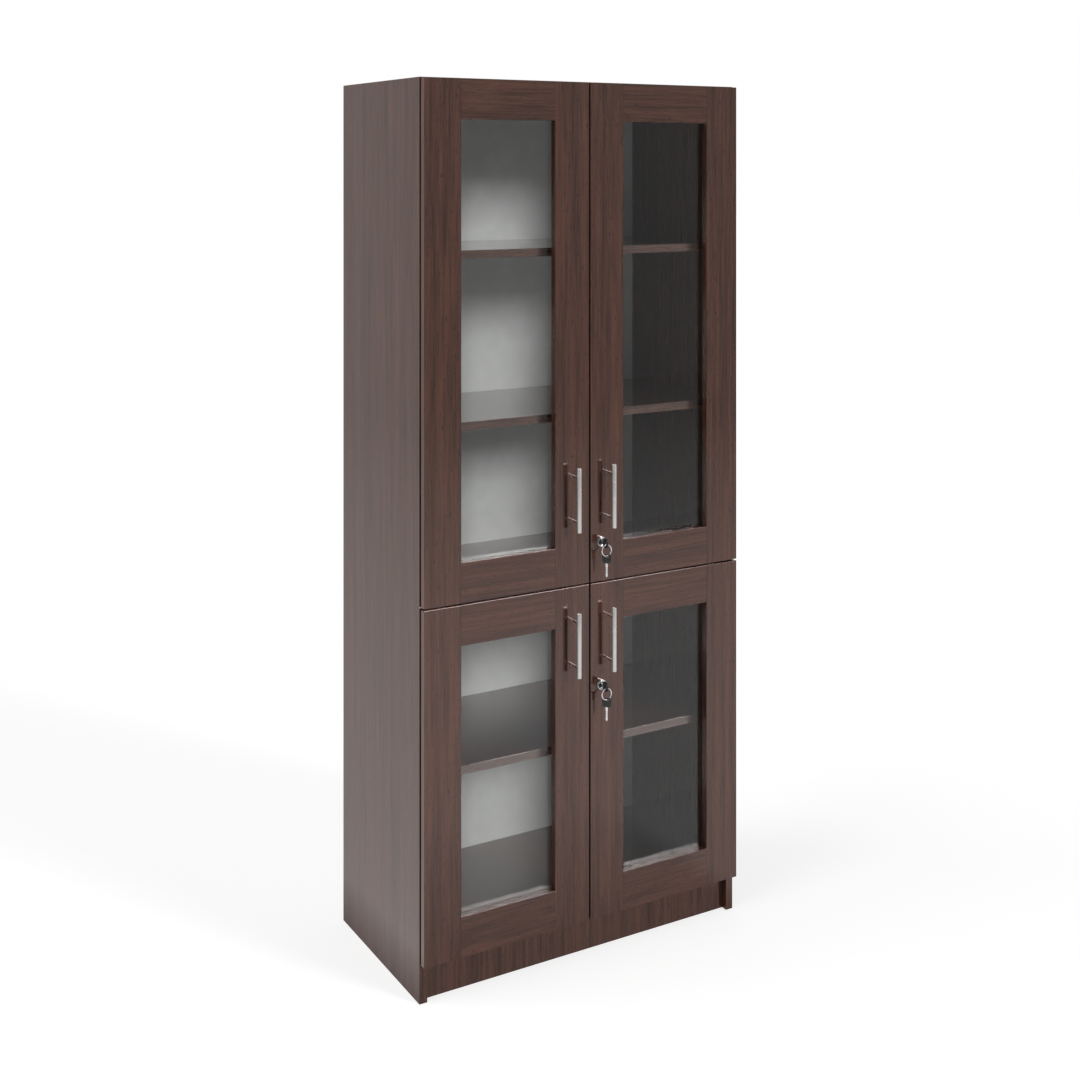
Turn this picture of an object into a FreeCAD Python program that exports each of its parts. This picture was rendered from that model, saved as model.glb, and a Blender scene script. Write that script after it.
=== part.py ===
"""Bookcase with four framed glass doors, as a parametric document.

Millimetres. X runs to the right, Y to the back, Z up. The origin is on the floor, in the middle of the
overall box, whose depth runs from the front of the handles to the back edges of the boards.
"""
import FreeCAD, Part
import os
import re
import Sketcher

Vector = FreeCAD.Vector
Rotation = FreeCAD.Rotation

SIZES = (
    ("carcass_width", 800, "over the two side panels"),
    ("carcass_height", 1900, "floor to the top panel's upper face"),
    ("carcass_depth", 400, "side panels, front edge to back edge"),
    ("board", 18, "thickness of every carcass board"),
    ("plinth_height", 82, "floor to the underside of the bottom panel"),
    ("plinth_recess", 15, "carcass front to the front plinth"),
    ("plinth_setback", 20, "back edge of the sides to the rear plinth"),
    ("shelf_recess", 20, "carcass front to the front of a loose shelf"),
    ("shelf_end_gap", 1, "end of a loose shelf to the side panel"),
    ("shelf_back_gap", 1.5, "loose shelf to the back panel"),
    ("back_thickness", 3, "back panel"),
    ("back_inset", 6, "back edge of the boards to the back panel"),
    ("groove_depth", 8, "groove for the back panel"),
    ("groove_gap", 0.2, "play of the back panel in its groove"),
    ("pin_diameter", 5, "shelf pin in its hole"),
    ("pin_length", 8, "shelf pin inside the side panel"),
    ("pin_hole_depth", 10, "hole for a shelf pin"),
    ("pin_gap", 0.05, "radial play of a shelf pin"),
    ("pin_drop", 7, "underside of a shelf to the pin's axis"),
    ("pin_inset", 60, "front and back edge of a shelf to its pins"),
    ("bracket_width", 10, "shelf pin bracket, along the depth"),
    ("bracket_reach", 10, "shelf pin bracket, under the shelf"),
    ("bracket_height", 12, "shelf pin bracket, down the side panel"),
    ("bracket_plate", 2, "thickness of the bracket's two legs"),
    ("dowel_diameter", 8, "wooden dowel"),
    ("dowel_in_end", 20, "dowel inside the end of a board"),
    ("dowel_in_side", 10, "dowel inside the side panel"),
    ("dowel_gap", 0.1, "radial play of a dowel"),
    ("dowel_bottoming", 1, "room past each end of a dowel"),
    ("fitting_inset", 50, "front and back edge of a panel to its cam fittings"),
    ("dowel_offset", 32, "cam fitting to the dowel beside it"),
    ("plinth_dowel_inset", 20, "top and bottom of a plinth to its dowels"),
    ("housing_diameter", 15, "cam housing"),
    ("housing_height", 12.5, "cam housing, from the underside of its panel"),
    ("housing_setback", 34, "end of a panel to the cam housing's axis"),
    ("bolt_diameter", 6, "cam bolt"),
    ("bolt_bite", 5, "cam bolt inside its housing"),
    ("bolt_in_side", 11, "cam bolt inside the side panel"),
    ("fitting_gap", 0.2, "radial play of the cam fittings"),
    ("frame_thickness", 16, "door frame"),
    ("door_gap", 2, "back of a door to the carcass front"),
    ("side_reveal", 2, "outer face of the side panel to the door's edge"),
    ("top_reveal", 2, "top of the carcass to the door's edge"),
    ("meeting_gap", 4, "between the left and right doors"),
    ("mid_gap", 4, "between the upper and lower doors"),
    ("door_drop", 1, "lower door's edge below the bottom panel"),
    ("stile_width", 85, "upright member of a door frame"),
    ("rail_height", 84, "cross member of a door frame"),
    ("tenon_length", 12, "tenon on the end of a rail"),
    ("tenon_thickness", 6, "tenon on the end of a rail"),
    ("tenon_shoulder", 10, "rail's edge to the tenon's edge"),
    ("tenon_gap", 0.1, "play of a tenon in its mortise"),
    ("glass_thickness", 4, "glass pane, on the back of the frame"),
    ("glass_lap", 10, "pane's edge past the frame's opening"),
    ("glass_gap", 1, "pane's edge to the glazing bead"),
    ("bead_lip", 7, "glazing bead over the pane"),
    ("bead_wall", 8, "glazing bead on the frame, beside the pane"),
    ("bead_cap", 3, "glazing bead behind the pane"),
    ("bar_diameter", 10, "handle bar"),
    ("bar_length", 138, "handle bar"),
    ("bar_reach", 29, "door face to the handle bar's axis"),
    ("post_diameter", 5.5, "handle post"),
    ("post_pitch", 96, "between the two posts of a handle"),
    ("handle_rise", 188, "bottom of an upper door to the middle of its handle"),
    ("handle_drop", 119, "top of a lower door to the middle of its handle"),
    ("screw_diameter", 4, "handle screw"),
    ("screw_bite", 10, "handle screw inside the post"),
    ("screw_head_diameter", 8, "handle screw"),
    ("screw_head_height", 2.5, "handle screw"),
    ("screw_gap", 0.2, "radial play of a handle screw in the door"),
    ("cup_diameter", 35, "hinge cup"),
    ("cup_depth", 11.5, "hinge cup"),
    ("cup_wall", 1.5, "hinge cup"),
    ("cup_edge", 5, "door's edge to the rim of the hinge cup"),
    ("cup_gap", 0.1, "play of a hinge cup in its bore"),
    ("flange_width", 22, "hinge cup's flange, across the stile"),
    ("flange_length", 58, "hinge cup's flange, along the stile"),
    ("flange_plate", 1, "thickness of the hinge cup's flange"),
    ("hinge_inset", 100, "end of a door to its hinge"),
    ("plate_setback", 37, "carcass front to the middle of a hinge plate"),
    ("plate_length", 50, "hinge plate, along the side panel's height"),
    ("plate_width", 20, "hinge plate, along the depth"),
    ("plate_thickness", 2.5, "hinge plate"),
    ("plate_tongue_width", 16, "hinge plate's tongue, under the arm"),
    ("plate_tongue_length", 40, "hinge plate's tongue, under the arm"),
    ("arm_width", 14, "hinge arm"),
    ("arm_height", 10, "hinge arm, off its plate"),
    ("arm_wall", 1.2, "hinge arm's sheet"),
    ("arm_tail", 62, "carcass front to the back end of the hinge arm"),
    ("arm_nose", 9, "hinge arm's nose in front of the carcass"),
    ("arm_slope", 6, "slope cut off the hinge arm's nose"),
    ("bumper_diameter", 5, "door bumper"),
    ("bumper_height", 1.7, "door bumper"),
    ("bumper_offset", 60, "middle of the bookcase to a bumper"),
    ("lock_edge", 25, "door's edge to the lock's axis"),
    ("lock_drop", 101, "middle of the handle to the lock's axis"),
    ("barrel_diameter", 21.5, "lock barrel in front of the door"),
    ("barrel_reach", 7, "lock barrel in front of the door"),
    ("barrel_rim", 2, "raised rim round the lock's face"),
    ("face_recess", 1, "lock's face behind its rim"),
    ("body_diameter", 18.8, "lock barrel through the door"),
    ("body_tail", 4, "lock barrel behind the door"),
    ("body_gap", 0.1, "radial play of the lock barrel in the door"),
    ("nut_circle", 26, "lock nut over its corners"),
    ("nut_height", 3, "lock nut"),
    ("plug_diameter", 12, "turning plug"),
    ("plug_gap", 0.05, "radial play of the plug in the barrel"),
    ("keyway_depth", 25.5, "keyway in the plug"),
    ("keyway_gap", 0.2, "play of the key in the keyway"),
    ("tail_square", 6, "square tail of the plug, through the cam"),
    ("tail_length", 5, "square tail of the plug"),
    ("cam_thickness", 2, "cam behind the door"),
    ("cam_length", 42, "lock's axis to the cam's tip"),
    ("cam_width", 15, "cam behind the door"),
    ("cam_gap", 0.1, "play of the cam and its nut on the tail"),
    ("cam_nut_circle", 11, "cam nut over its corners"),
    ("key_width", 20, "key's head, across"),
    ("key_head", 20, "key's head, along"),
    ("key_thickness", 3, "key's head"),
    ("key_corner", 6, "rounded corners of the key's head"),
    ("key_slot_width", 9.5, "slot in the key's head, across"),
    ("key_slot_height", 5, "slot in the key's head, along"),
    ("key_slot_corner", 2, "rounded corners of the slot"),
    ("key_slot_rim", 2.5, "end of the key's head to the slot"),
    ("key_neck", 4, "lock's rim to the key's head"),
    ("blade_length", 30, "key's blade"),
    ("blade_width", 5, "key's blade"),
    ("blade_thickness", 2, "key's blade"),
    ("blade_point", 2, "point of the key's blade"),
    ("blade_groove_width", 1.6, "groove along each side of the blade"),
    ("blade_groove_depth", 0.5, "groove along each side of the blade"),
    ("ring_radius", 12, "key ring, to the middle of its wire"),
    ("wire_radius", 1, "key ring's wire, half of its thickness"),
    ("ring_play", 0.3, "least room between the ring and the key's head as it turns"),
    ("hang_gap", 0.8, "spare key's slot above the ring's wire"),
    ("spare_turn", 45, "degrees the spare key is turned from the door's plane"),
)

PLACES = (
    ("front", "(bar_reach + bar_diameter / 2 + frame_thickness + door_gap - carcass_depth) / 2"),
    ("rear", "front + carcass_depth"),
    ("door_back", "front - door_gap"),
    ("door_face", "door_back - frame_thickness"),
    ("door_middle", "door_back - frame_thickness / 2"),
    ("back_face", "rear - back_inset - back_thickness"),
    ("half", "carcass_width / 2"),
    ("inner", "half - board"),
    ("bottom_top", "plinth_height + board"),
    ("tier", "(carcass_height - bottom_top) / 5"),
    ("lower_shelf_top", "bottom_top + tier"),
    ("fixed_top", "bottom_top + 2 * tier"),
    ("upper_shelf_low_top", "bottom_top + 3 * tier"),
    ("upper_shelf_high_top", "bottom_top + 4 * tier"),
    ("shelf_front", "front + shelf_recess"),
    ("shelf_back", "back_face - shelf_back_gap"),
    ("door_outer", "half - side_reveal"),
    ("door_inner", "meeting_gap / 2"),
    ("door_split", "fixed_top - board / 2"),
    ("upper_lo", "door_split + mid_gap / 2"),
    ("upper_hi", "carcass_height - top_reveal"),
    ("lower_lo", "plinth_height - door_drop"),
    ("lower_hi", "door_split - mid_gap / 2"),
    ("open_inner", "door_inner + stile_width"),
    ("open_outer", "door_outer - stile_width"),
    ("open_middle", "(open_inner + open_outer) / 2"),
    ("handle_x", "door_inner + stile_width / 2"),
    ("upper_handle_z", "upper_lo + handle_rise"),
    ("lower_handle_z", "lower_hi - handle_drop"),
    ("lock_x", "door_inner + lock_edge"),
    ("cup_x", "door_outer - cup_edge - cup_diameter / 2"),
    ("key_y", "door_face - barrel_reach - key_neck"),
    ("slot_y", "key_y - key_head + key_slot_rim + key_slot_height / 2"),
    ("rim_middle", "(key_width + key_slot_width) / 4"),
    ("rim_corner", "sqrt(((key_width - key_slot_width) / 4) ^ 2 + (key_thickness / 2) ^ 2)"),
    ("ring_drop", "rim_middle + ring_radius - wire_radius - ring_play - rim_corner"),
    ("spare_drop", "ring_drop + ring_radius + key_head - key_slot_rim - hang_gap - wire_radius"),
)

SIDES = {"left": -1, "right": 1}
LEVELS = ("upper", "lower")
LOOSE_SHELVES = ("lower_shelf", "upper_shelf_low", "upper_shelf_high")
FIXED_PANELS = {"top_panel": "carcass_height", "fixed_shelf": "fixed_top", "bottom_panel": "bottom_top"}
HINGES = {
    "upper": ("upper_lo + hinge_inset", "(upper_lo + upper_hi) / 2", "upper_hi - hinge_inset"),
    "lower": ("lower_lo + hinge_inset", "lower_hi - hinge_inset"),
}
DIRECTIONS = {
    "+x": Rotation(Vector(0, 1, 0), 90),
    "-x": Rotation(Vector(0, 1, 0), -90),
    "+y": Rotation(Vector(1, 0, 0), -90),
    "-y": Rotation(Vector(1, 0, 0), 90),
    "+z": Rotation(),
}
ROD_SIDES = 6
DISC_SIDES = 12
ROUND_SIDES = 24
RING_SIDES = 40
NUT_SIDES = 6
CORNER_CUT = 0.293
UPRIGHT = Rotation()
TURNED_LEFT = Rotation(Vector(0, 1, 0), 180)

doc = FreeCAD.newDocument("GlassDoorBookcase")
sizes = doc.addObject("Spreadsheet::Sheet", "Sizes")
for row, (alias, number, meaning) in enumerate(SIZES, start=1):
    sizes.set(f"A{row}", meaning)
    sizes.set(f"B{row}", str(number))
    sizes.setAlias(f"B{row}", alias)
places = doc.addObject("Spreadsheet::Sheet", "Places")
SHEET_OF = {alias: "Sizes" for alias, _, _ in SIZES}
SHEET_OF.update({alias: "Places" for alias, _ in PLACES})
nodes = []


def full(expression):
    """The expression with each name led by its sheet."""
    def with_sheet(match):
        word = match.group()
        return f"{SHEET_OF[word]}.{word}" if word in SHEET_OF else word

    return re.sub("[a-z_]+", with_sheet, expression)


for row, (alias, formula) in enumerate(PLACES, start=1):
    places.set(f"A{row}", alias)
    places.set(f"B{row}", "=" + full(formula).replace("Places.", ""))
    places.setAlias(f"B{row}", alias)
doc.recompute()


def value(expression):
    """The number that an expression has now."""
    return float(sizes.evalExpression(full(expression)))


def bind(thing, **expressions):
    """Tie properties of a document object to expressions."""
    for name, expression in expressions.items():
        thing.setExpression(name, full(expression))
    return thing


def put(thing, at, turn=UPRIGHT):
    """Place an object at a point given by three expressions."""
    thing.Placement = FreeCAD.Placement(Vector(), turn)
    for axis, expression in zip("xyz", at):
        thing.setExpression(f"Placement.Base.{axis}", full(expression))
    return thing


def keep(label, thing):
    """Take an object as a finished sub-part under its label."""
    thing.Label = label
    nodes.append(thing)
    return thing


def block(x_range, y_range, z_range):
    """A box between pairs of expressions."""
    box = doc.addObject("Part::Box", "block")
    sides = [f"( {high} ) - ( {low} )" for low, high in (x_range, y_range, z_range)]
    bind(box, Length=sides[0], Width=sides[1], Height=sides[2])
    return put(box, (x_range[0], y_range[0], z_range[0]))


def prism(direction, at, radius, length, corners=ROD_SIDES):
    """A many-sided rod from a point along a direction, measured over its corners."""
    shape = doc.addObject("Part::Prism", "prism")
    shape.Polygon = corners
    bind(shape, Circumradius=radius, Height=length)
    return put(shape, at, DIRECTIONS[direction])


def cylinder(direction, at, radius, length):
    """A round rod from a point along a direction."""
    shape = doc.addObject("Part::Cylinder", "cylinder")
    bind(shape, Radius=radius, Height=length)
    return put(shape, at, DIRECTIONS[direction])


def group(members):
    """Separate solids kept together."""
    compound = doc.addObject("Part::Compound", "group")
    compound.Links = members
    return compound


def cut(base, tools):
    """A base less its tools."""
    result = doc.addObject("Part::Cut", "cut")
    result.Base = base
    result.Tool = tools[0] if len(tools) == 1 else group(tools)
    return result


def fuse(first, second):
    """Two shapes joined in one solid."""
    result = doc.addObject("Part::Fuse", "fuse")
    result.Base = first
    result.Tool = second
    result.Refine = True
    return result


def copy(source, at, turn=UPRIGHT):
    """The same piece at another place."""
    link = doc.addObject("App::Link", "copy")
    link.LinkedObject = source
    return put(link, at, turn)


def across(sign, near, far):
    """An X range measured outwards from the middle, on the left (-1) or the right (1)."""
    return (near, far) if sign > 0 else (f"-1 * ( {far} )", f"-1 * ( {near} )")


def on_side(sign, distance):
    """An X place measured outwards from the middle."""
    return f"{sign} * ( {distance} )"


def new_body(name):
    return doc.addObject("PartDesign::Body", name)


def sketch(body, plane, outline, level="0"):
    """A closed outline, dimensioned from the origin of one of the body's own planes.

    The level lifts the sketch off its plane.
    """
    drawing = body.newObject("Sketcher::SketchObject", "Sketch")
    support = next(item for item in body.Origin.OriginFeatures if item.Role == plane)
    drawing.AttachmentSupport = [(support, "")]
    drawing.MapMode = "FlatFace"
    drawing.setExpression("AttachmentOffset.Base.z", full(level))
    corners = [Vector(value(x), value(y), 0) for x, y in outline]
    for index, corner in enumerate(corners):
        following = corners[(index + 1) % len(corners)]
        drawing.addGeometry(Part.LineSegment(corner, following), False)
    for index in range(len(corners)):
        following = (index + 1) % len(corners)
        drawing.addConstraint(Sketcher.Constraint("Coincident", index, 2, following, 1))
    for index, point in enumerate(outline):
        for kind, expression in zip(("DistanceX", "DistanceY"), point):
            rule = Sketcher.Constraint(kind, -1, 1, index, 1, value(expression))
            place = drawing.addConstraint(rule)
            drawing.setExpression(f"Constraints[{place}]", full(expression))
    return drawing


def pad(body, drawing, length, back=False, symmetric=False):
    feature = body.newObject("PartDesign::Pad", "Pad")
    feature.Profile = drawing
    feature.Reversed = back
    if symmetric:
        feature.SideType = "Symmetric"
    return bind(feature, Length=length)


def pocket(body, drawing, length, back=False, symmetric=False):
    feature = body.newObject("PartDesign::Pocket", "Pocket")
    feature.Profile = drawing
    feature.Reversed = back
    if symmetric:
        feature.SideType = "Symmetric"
    return bind(feature, Length=length)


def rectangle(x_range, y_range):
    """Corners of a rectangle between expressions."""
    (left, right), (low, high) = x_range, y_range
    return [(left, low), (right, low), (right, high), (left, high)]


def eased(half, low, high, radius):
    """Outline of a rectangle about the middle, with its corners rounded in two steps."""
    step = f"{CORNER_CUT} * ( {radius} )"
    quarter = [("0", f"( {radius} )"), (step, step), (f"( {radius} )", "0")]
    lower_right = [(f"{half} - {x}", f"{low} + {y}") for x, y in reversed(quarter)]
    upper_right = [(f"{half} - {x}", f"{high} - {y}") for x, y in quarter]
    right = lower_right + upper_right
    return right + [(f"-1 * ( {x} )", y) for x, y in reversed(right)]


def fitting_rows(panel_back):
    """Y places of a panel's cam fittings, each with the dowel beside it."""
    front_row = "front + fitting_inset"
    back_row = f"{panel_back} - fitting_inset"
    return (front_row, f"{front_row} + dowel_offset"), (back_row, f"{back_row} - dowel_offset")


PANEL_BACKS = {"top_panel": "rear", "fixed_shelf": "back_face", "bottom_panel": "rear"}
PLINTHS = {
    "front_plinth": ("front + plinth_recess", "front + plinth_recess + board"),
    "rear_plinth": ("rear - plinth_setback - board", "rear - plinth_setback"),
}


def plinth_dowel_places(name):
    """Y and Z of the dowels in one end of a plinth."""
    low, high = PLINTHS[name]
    middle = f"( {low} + {high} ) / 2"
    return (middle, "plinth_dowel_inset"), (middle, "plinth_height - plinth_dowel_inset")


def shelf_pin_rows():
    """Y places of the pins under a loose shelf."""
    return "shelf_front + pin_inset", "shelf_back - pin_inset"


def side_panel(side, sign):
    """Side board with its groove and the holes for bolts, dowels and shelf pins."""
    outward = f"{'-' if sign < 0 else '+'}x"
    board = block(across(sign, "inner", "half"), ("front", "rear"), ("0", "carcass_height"))
    groove = across(sign, "inner", "inner + groove_depth")
    tools = [block(groove, ("back_face - groove_gap", "back_face + back_thickness"), ("0", "carcass_height"))]
    face = on_side(sign, "inner")
    for name, top in FIXED_PANELS.items():
        middle = f"{top} - board / 2"
        for fitting_y, dowel_y in fitting_rows(PANEL_BACKS[name]):
            tools.append(prism(outward, (face, fitting_y, middle), "bolt_diameter / 2", "bolt_in_side"))
            tools.append(dowel_hole(outward, (face, dowel_y, middle), "dowel_in_side"))
    for name in PLINTHS:
        for y, z in plinth_dowel_places(name):
            tools.append(dowel_hole(outward, (face, y, z), "dowel_in_side"))
    for name in LOOSE_SHELVES:
        for y in shelf_pin_rows():
            at = (face, y, f"{name}_top - board - pin_drop")
            tools.append(prism(outward, at, "pin_diameter / 2 + pin_gap", "pin_hole_depth"))
    keep(f"{side}_side_panel", cut(board, tools))


def dowel_hole(direction, at, depth):
    return prism(direction, at, "dowel_diameter / 2 + dowel_gap", f"{depth} + dowel_bottoming")


def fixed_panel(name, top):
    """Board between the sides, with cam housings bored from below and dowel holes in its ends."""
    underside = f"{top} - board"
    middle = f"{top} - board / 2"
    board = block(("-1 * inner", "inner"), ("front", PANEL_BACKS[name]), (underside, top))
    tools = []
    if name != "fixed_shelf":
        rebate_low = underside if name == "top_panel" else f"{top} - groove_depth"
        rebate_high = f"{underside} + groove_depth" if name == "top_panel" else top
        groove_y = ("back_face - groove_gap", "back_face + back_thickness")
        tools.append(block(("-1 * inner", "inner"), groove_y, (rebate_low, rebate_high)))
    housing_bore, bolt_bore = "housing_diameter / 2 + fitting_gap", "bolt_diameter / 2 + fitting_gap"
    for sign in SIDES.values():
        inward = f"{'+' if sign < 0 else '-'}x"
        end = on_side(sign, "inner")
        for fitting_y, dowel_y in fitting_rows(PANEL_BACKS[name]):
            housing = (on_side(sign, "inner - housing_setback"), fitting_y, underside)
            tools.append(prism("+z", housing, housing_bore, "housing_height + fitting_gap", DISC_SIDES))
            tools.append(prism(inward, (end, fitting_y, middle), bolt_bore, "housing_setback"))
            tools.append(dowel_hole(inward, (end, dowel_y, middle), "dowel_in_end"))
    keep(name, cut(board, tools))


def plinth(name):
    """Board on the floor under the bottom panel, with dowel holes in its ends."""
    board = block(("-1 * inner", "inner"), PLINTHS[name], ("0", "plinth_height"))
    tools = []
    for sign in SIDES.values():
        inward = f"{'+' if sign < 0 else '-'}x"
        for y, z in plinth_dowel_places(name):
            tools.append(dowel_hole(inward, (on_side(sign, "inner"), y, z), "dowel_in_end"))
    keep(name, cut(board, tools))


def back_panel():
    """Thin panel held in grooves on all four sides."""
    reach = "inner + groove_depth - groove_gap"
    low = "bottom_top - groove_depth + groove_gap"
    high = "carcass_height - board + groove_depth - groove_gap"
    thickness = ("back_face", "back_face + back_thickness")
    keep("back_panel", block((f"-1 * ( {reach} )", reach), thickness, (low, high)))


def loose_shelf(name):
    reach = "inner - shelf_end_gap"
    depth = ("shelf_front", "shelf_back")
    keep(name, block((f"-1 * ( {reach} )", reach), depth, (f"{name}_top - board", f"{name}_top")))


def shelf_pins():
    """Bracket pins, four under each loose shelf."""
    bracket = new_body("Bracket")
    legs = [
        ("0", "0"),
        ("bracket_reach", "0"),
        ("bracket_reach", "-1 * bracket_plate"),
        ("bracket_plate", "-1 * bracket_plate"),
        ("bracket_plate", "-1 * bracket_height"),
        ("0", "-1 * bracket_height"),
    ]
    pad(bracket, sketch(bracket, "XZ_Plane", legs), "bracket_width", symmetric=True)
    shank = prism("-x", ("0", "0", "-1 * pin_drop"), "pin_diameter / 2", "pin_length")
    pin = fuse(bracket, shank)
    copies = []
    for sign in SIDES.values():
        turn = Rotation(Vector(0, 0, 1), 180) if sign > 0 else UPRIGHT
        for name in LOOSE_SHELVES:
            for y in shelf_pin_rows():
                copies.append(copy(pin, (on_side(sign, "inner"), y, f"{name}_top - board"), turn))
    keep("shelf_pins", group(copies))


def cam_fittings():
    """Cam housings and their bolts, two at each end of each fixed panel."""
    members = []
    bore = "bolt_diameter / 2 + fitting_gap"
    bolt_end = "housing_setback - housing_diameter / 2 + bolt_bite"
    for name, top in FIXED_PANELS.items():
        for sign in SIDES.values():
            inward = f"{'+' if sign < 0 else '-'}x"
            for fitting_y, _ in fitting_rows(PANEL_BACKS[name]):
                seat = (on_side(sign, "inner - housing_setback"), fitting_y, f"{top} - board")
                housing = prism("+z", seat, "housing_diameter / 2", "housing_height", DISC_SIDES)
                axis = (fitting_y, f"{top} - board / 2")
                throat = prism(inward, (on_side(sign, "inner"), *axis), bore, f"{bolt_end} + fitting_gap")
                members.append(cut(housing, [throat]))
                start = (on_side(sign, "inner + bolt_in_side"), *axis)
                members.append(prism(inward, start, "bolt_diameter / 2", f"bolt_in_side + {bolt_end}"))
    keep("cam_fittings", group(members))


def panel_dowels():
    """Dowels beside the cam fittings and in the ends of the plinths."""
    members = []
    length = "dowel_in_end + dowel_in_side"
    spots = []
    for name, top in FIXED_PANELS.items():
        spots += [(dowel_y, f"{top} - board / 2") for _, dowel_y in fitting_rows(PANEL_BACKS[name])]
    for name in PLINTHS:
        spots += plinth_dowel_places(name)
    for sign in SIDES.values():
        inward = f"{'+' if sign < 0 else '-'}x"
        for y, z in spots:
            start = on_side(sign, "inner + dowel_in_side")
            members.append(prism(inward, (start, y, z), "dowel_diameter / 2", length))
    keep("panel_dowels", group(members))


def hinge_arms():
    """Hinge plates on the side panels, each with a channel arm whose nose stands in the door's cup."""
    plate = new_body("HingePlate")
    wing, tongue = "plate_length / 2", "plate_tongue_width / 2"
    near, far = "plate_width / 2", "plate_tongue_length / 2"
    quarter = [
        (far, tongue),
        (near, tongue),
        (near, wing),
    ]
    outline = quarter + [(f"-1 * {y}", z) for y, z in reversed(quarter)]
    outline += [(f"-1 * {y}", f"-1 * {z}") for y, z in quarter]
    outline += [(y, f"-1 * {z}") for y, z in reversed(quarter)]
    pad(plate, sketch(plate, "YZ_Plane", outline), "plate_thickness")
    arm = new_body("HingeArm")
    low, high = "plate_thickness", "plate_thickness + arm_height"
    wall, hollow = "arm_width / 2", "arm_width / 2 - arm_wall"
    channel = [
        (low, f"-1 * {wall}"),
        (high, f"-1 * {wall}"),
        (high, wall),
        (low, wall),
        (low, hollow),
        (f"{high} - arm_wall", hollow),
        (f"{high} - arm_wall", f"-1 * ( {hollow} )"),
        (low, f"-1 * ( {hollow} )"),
    ]
    pad(arm, sketch(arm, "XZ_Plane", channel), "arm_nose + arm_tail", back=True)
    slope = [(high, "0"), (high, "arm_slope"), (f"{high} - arm_slope", "0")]
    pocket(arm, sketch(arm, "XY_Plane", slope), "2 * arm_width", symmetric=True)
    members = []
    for sign in SIDES.values():
        turn = UPRIGHT if sign < 0 else TURNED_LEFT
        for level in LEVELS:
            for z in HINGES[level]:
                x = on_side(sign, "inner")
                members.append(copy(plate, (x, "front + plate_setback", z), turn))
                members.append(copy(arm, (x, "front - arm_nose", z), turn))
    keep("hinge_arms", group(members))


def door_bumpers():
    """Soft dots on the carcass front, two behind each door."""
    strip = "( board - mid_gap ) / 4"
    levels = (
        "carcass_height - board / 2",
        f"fixed_top - {strip}",
        f"fixed_top - board + {strip}",
        "bottom_top - board / 2",
    )
    members = []
    for sign in SIDES.values():
        for z in levels:
            at = (on_side(sign, "bumper_offset"), "front", z)
            members.append(prism("-y", at, "bumper_diameter / 2", "bumper_height"))
    keep("door_bumpers", group(members))


def rail_range(level, end):
    """Z range of a door's top or bottom rail."""
    if end == "top":
        return f"{level}_hi - rail_height", f"{level}_hi"
    return f"{level}_lo", f"{level}_lo + rail_height"


def tenon_block(sign, level, end, near, far, play):
    """The space of a tenon between two distances from the middle, with its play."""
    low, high = rail_range(level, end)
    half = f"tenon_thickness / 2 + {play}"
    return block(
        across(sign, near, far),
        (f"door_middle - ( {half} )", f"door_middle + {half}"),
        (f"{low} + tenon_shoulder - {play}", f"{high} - tenon_shoulder + {play}"),
    )


def hinge_stile(side, sign, level):
    """Outer upright with mortises for the rails and bores for the hinge cups."""
    depth = ("door_face", "door_back")
    board = block(across(sign, "open_outer", "door_outer"), depth, (f"{level}_lo", f"{level}_hi"))
    reach = "open_outer + tenon_length + tenon_gap"
    tools = [tenon_block(sign, level, end, "open_outer", reach, "tenon_gap") for end in ("top", "bottom")]
    for z in HINGES[level]:
        at = (on_side(sign, "cup_x"), "door_back", z)
        tools.append(prism("-y", at, "cup_diameter / 2 + cup_gap", "cup_depth + cup_gap", DISC_SIDES))
    keep(f"{level}_{side}_hinge_stile", cut(board, tools))


def meeting_stile(side, sign, level):
    """Inner upright with mortises, handle screw holes and, on the right, the lock's hole."""
    depth = ("door_face", "door_back")
    board = block(across(sign, "door_inner", "open_inner"), depth, (f"{level}_lo", f"{level}_hi"))
    reach = "open_inner - tenon_length - tenon_gap"
    tools = [tenon_block(sign, level, end, reach, "open_inner", "tenon_gap") for end in ("top", "bottom")]
    for step in (-1, 1):
        at = (on_side(sign, "handle_x"), "door_back", f"{level}_handle_z + {step} * post_pitch / 2")
        tools.append(prism("-y", at, "screw_diameter / 2 + screw_gap", "frame_thickness"))
    if side == "right":
        at = ("lock_x", "door_back", f"{level}_handle_z - lock_drop")
        tools.append(prism("-y", at, "body_diameter / 2 + body_gap", "frame_thickness", ROUND_SIDES))
    keep(f"{level}_{side}_meeting_stile", cut(board, tools))


def rail(side, sign, level, end):
    """Cross member between the stiles, with a stub tenon at each end."""
    depth = ("door_face", "door_back")
    board = block(across(sign, "open_inner", "open_outer"), depth, rail_range(level, end))
    tenons = tenon_block(sign, level, end, "open_inner - tenon_length", "open_outer + tenon_length", "0")
    keep(f"{level}_{side}_{end}_rail", fuse(board, tenons))


def opening_middle(level):
    """Z place of the middle of a door's glazed opening."""
    return f"( {level}_lo + {level}_hi ) / 2"


def glass(side, sign, level):
    """Pane against the back of the frame."""
    width = across(sign, "open_inner - glass_lap", "open_outer + glass_lap")
    height = (f"{level}_lo + rail_height - glass_lap", f"{level}_hi - rail_height + glass_lap")
    keep(f"{level}_{side}_glass", block(width, ("door_back", "door_back + glass_thickness"), height))


def bead(name, length):
    """Glazing bead of stepped section, whose X runs outwards from the edge of the opening."""
    body = new_body(name)
    inside, seat = "glass_lap - bead_lip", "glass_lap + glass_gap"
    outside = f"{seat} + bead_wall"
    section = [
        (seat, "0"),
        (outside, "0"),
        (outside, "glass_thickness + bead_cap"),
        (inside, "glass_thickness + bead_cap"),
        (inside, "glass_thickness"),
        (seat, "glass_thickness"),
    ]
    pad(body, sketch(body, "XY_Plane", section), length, symmetric=True)
    return body


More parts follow.
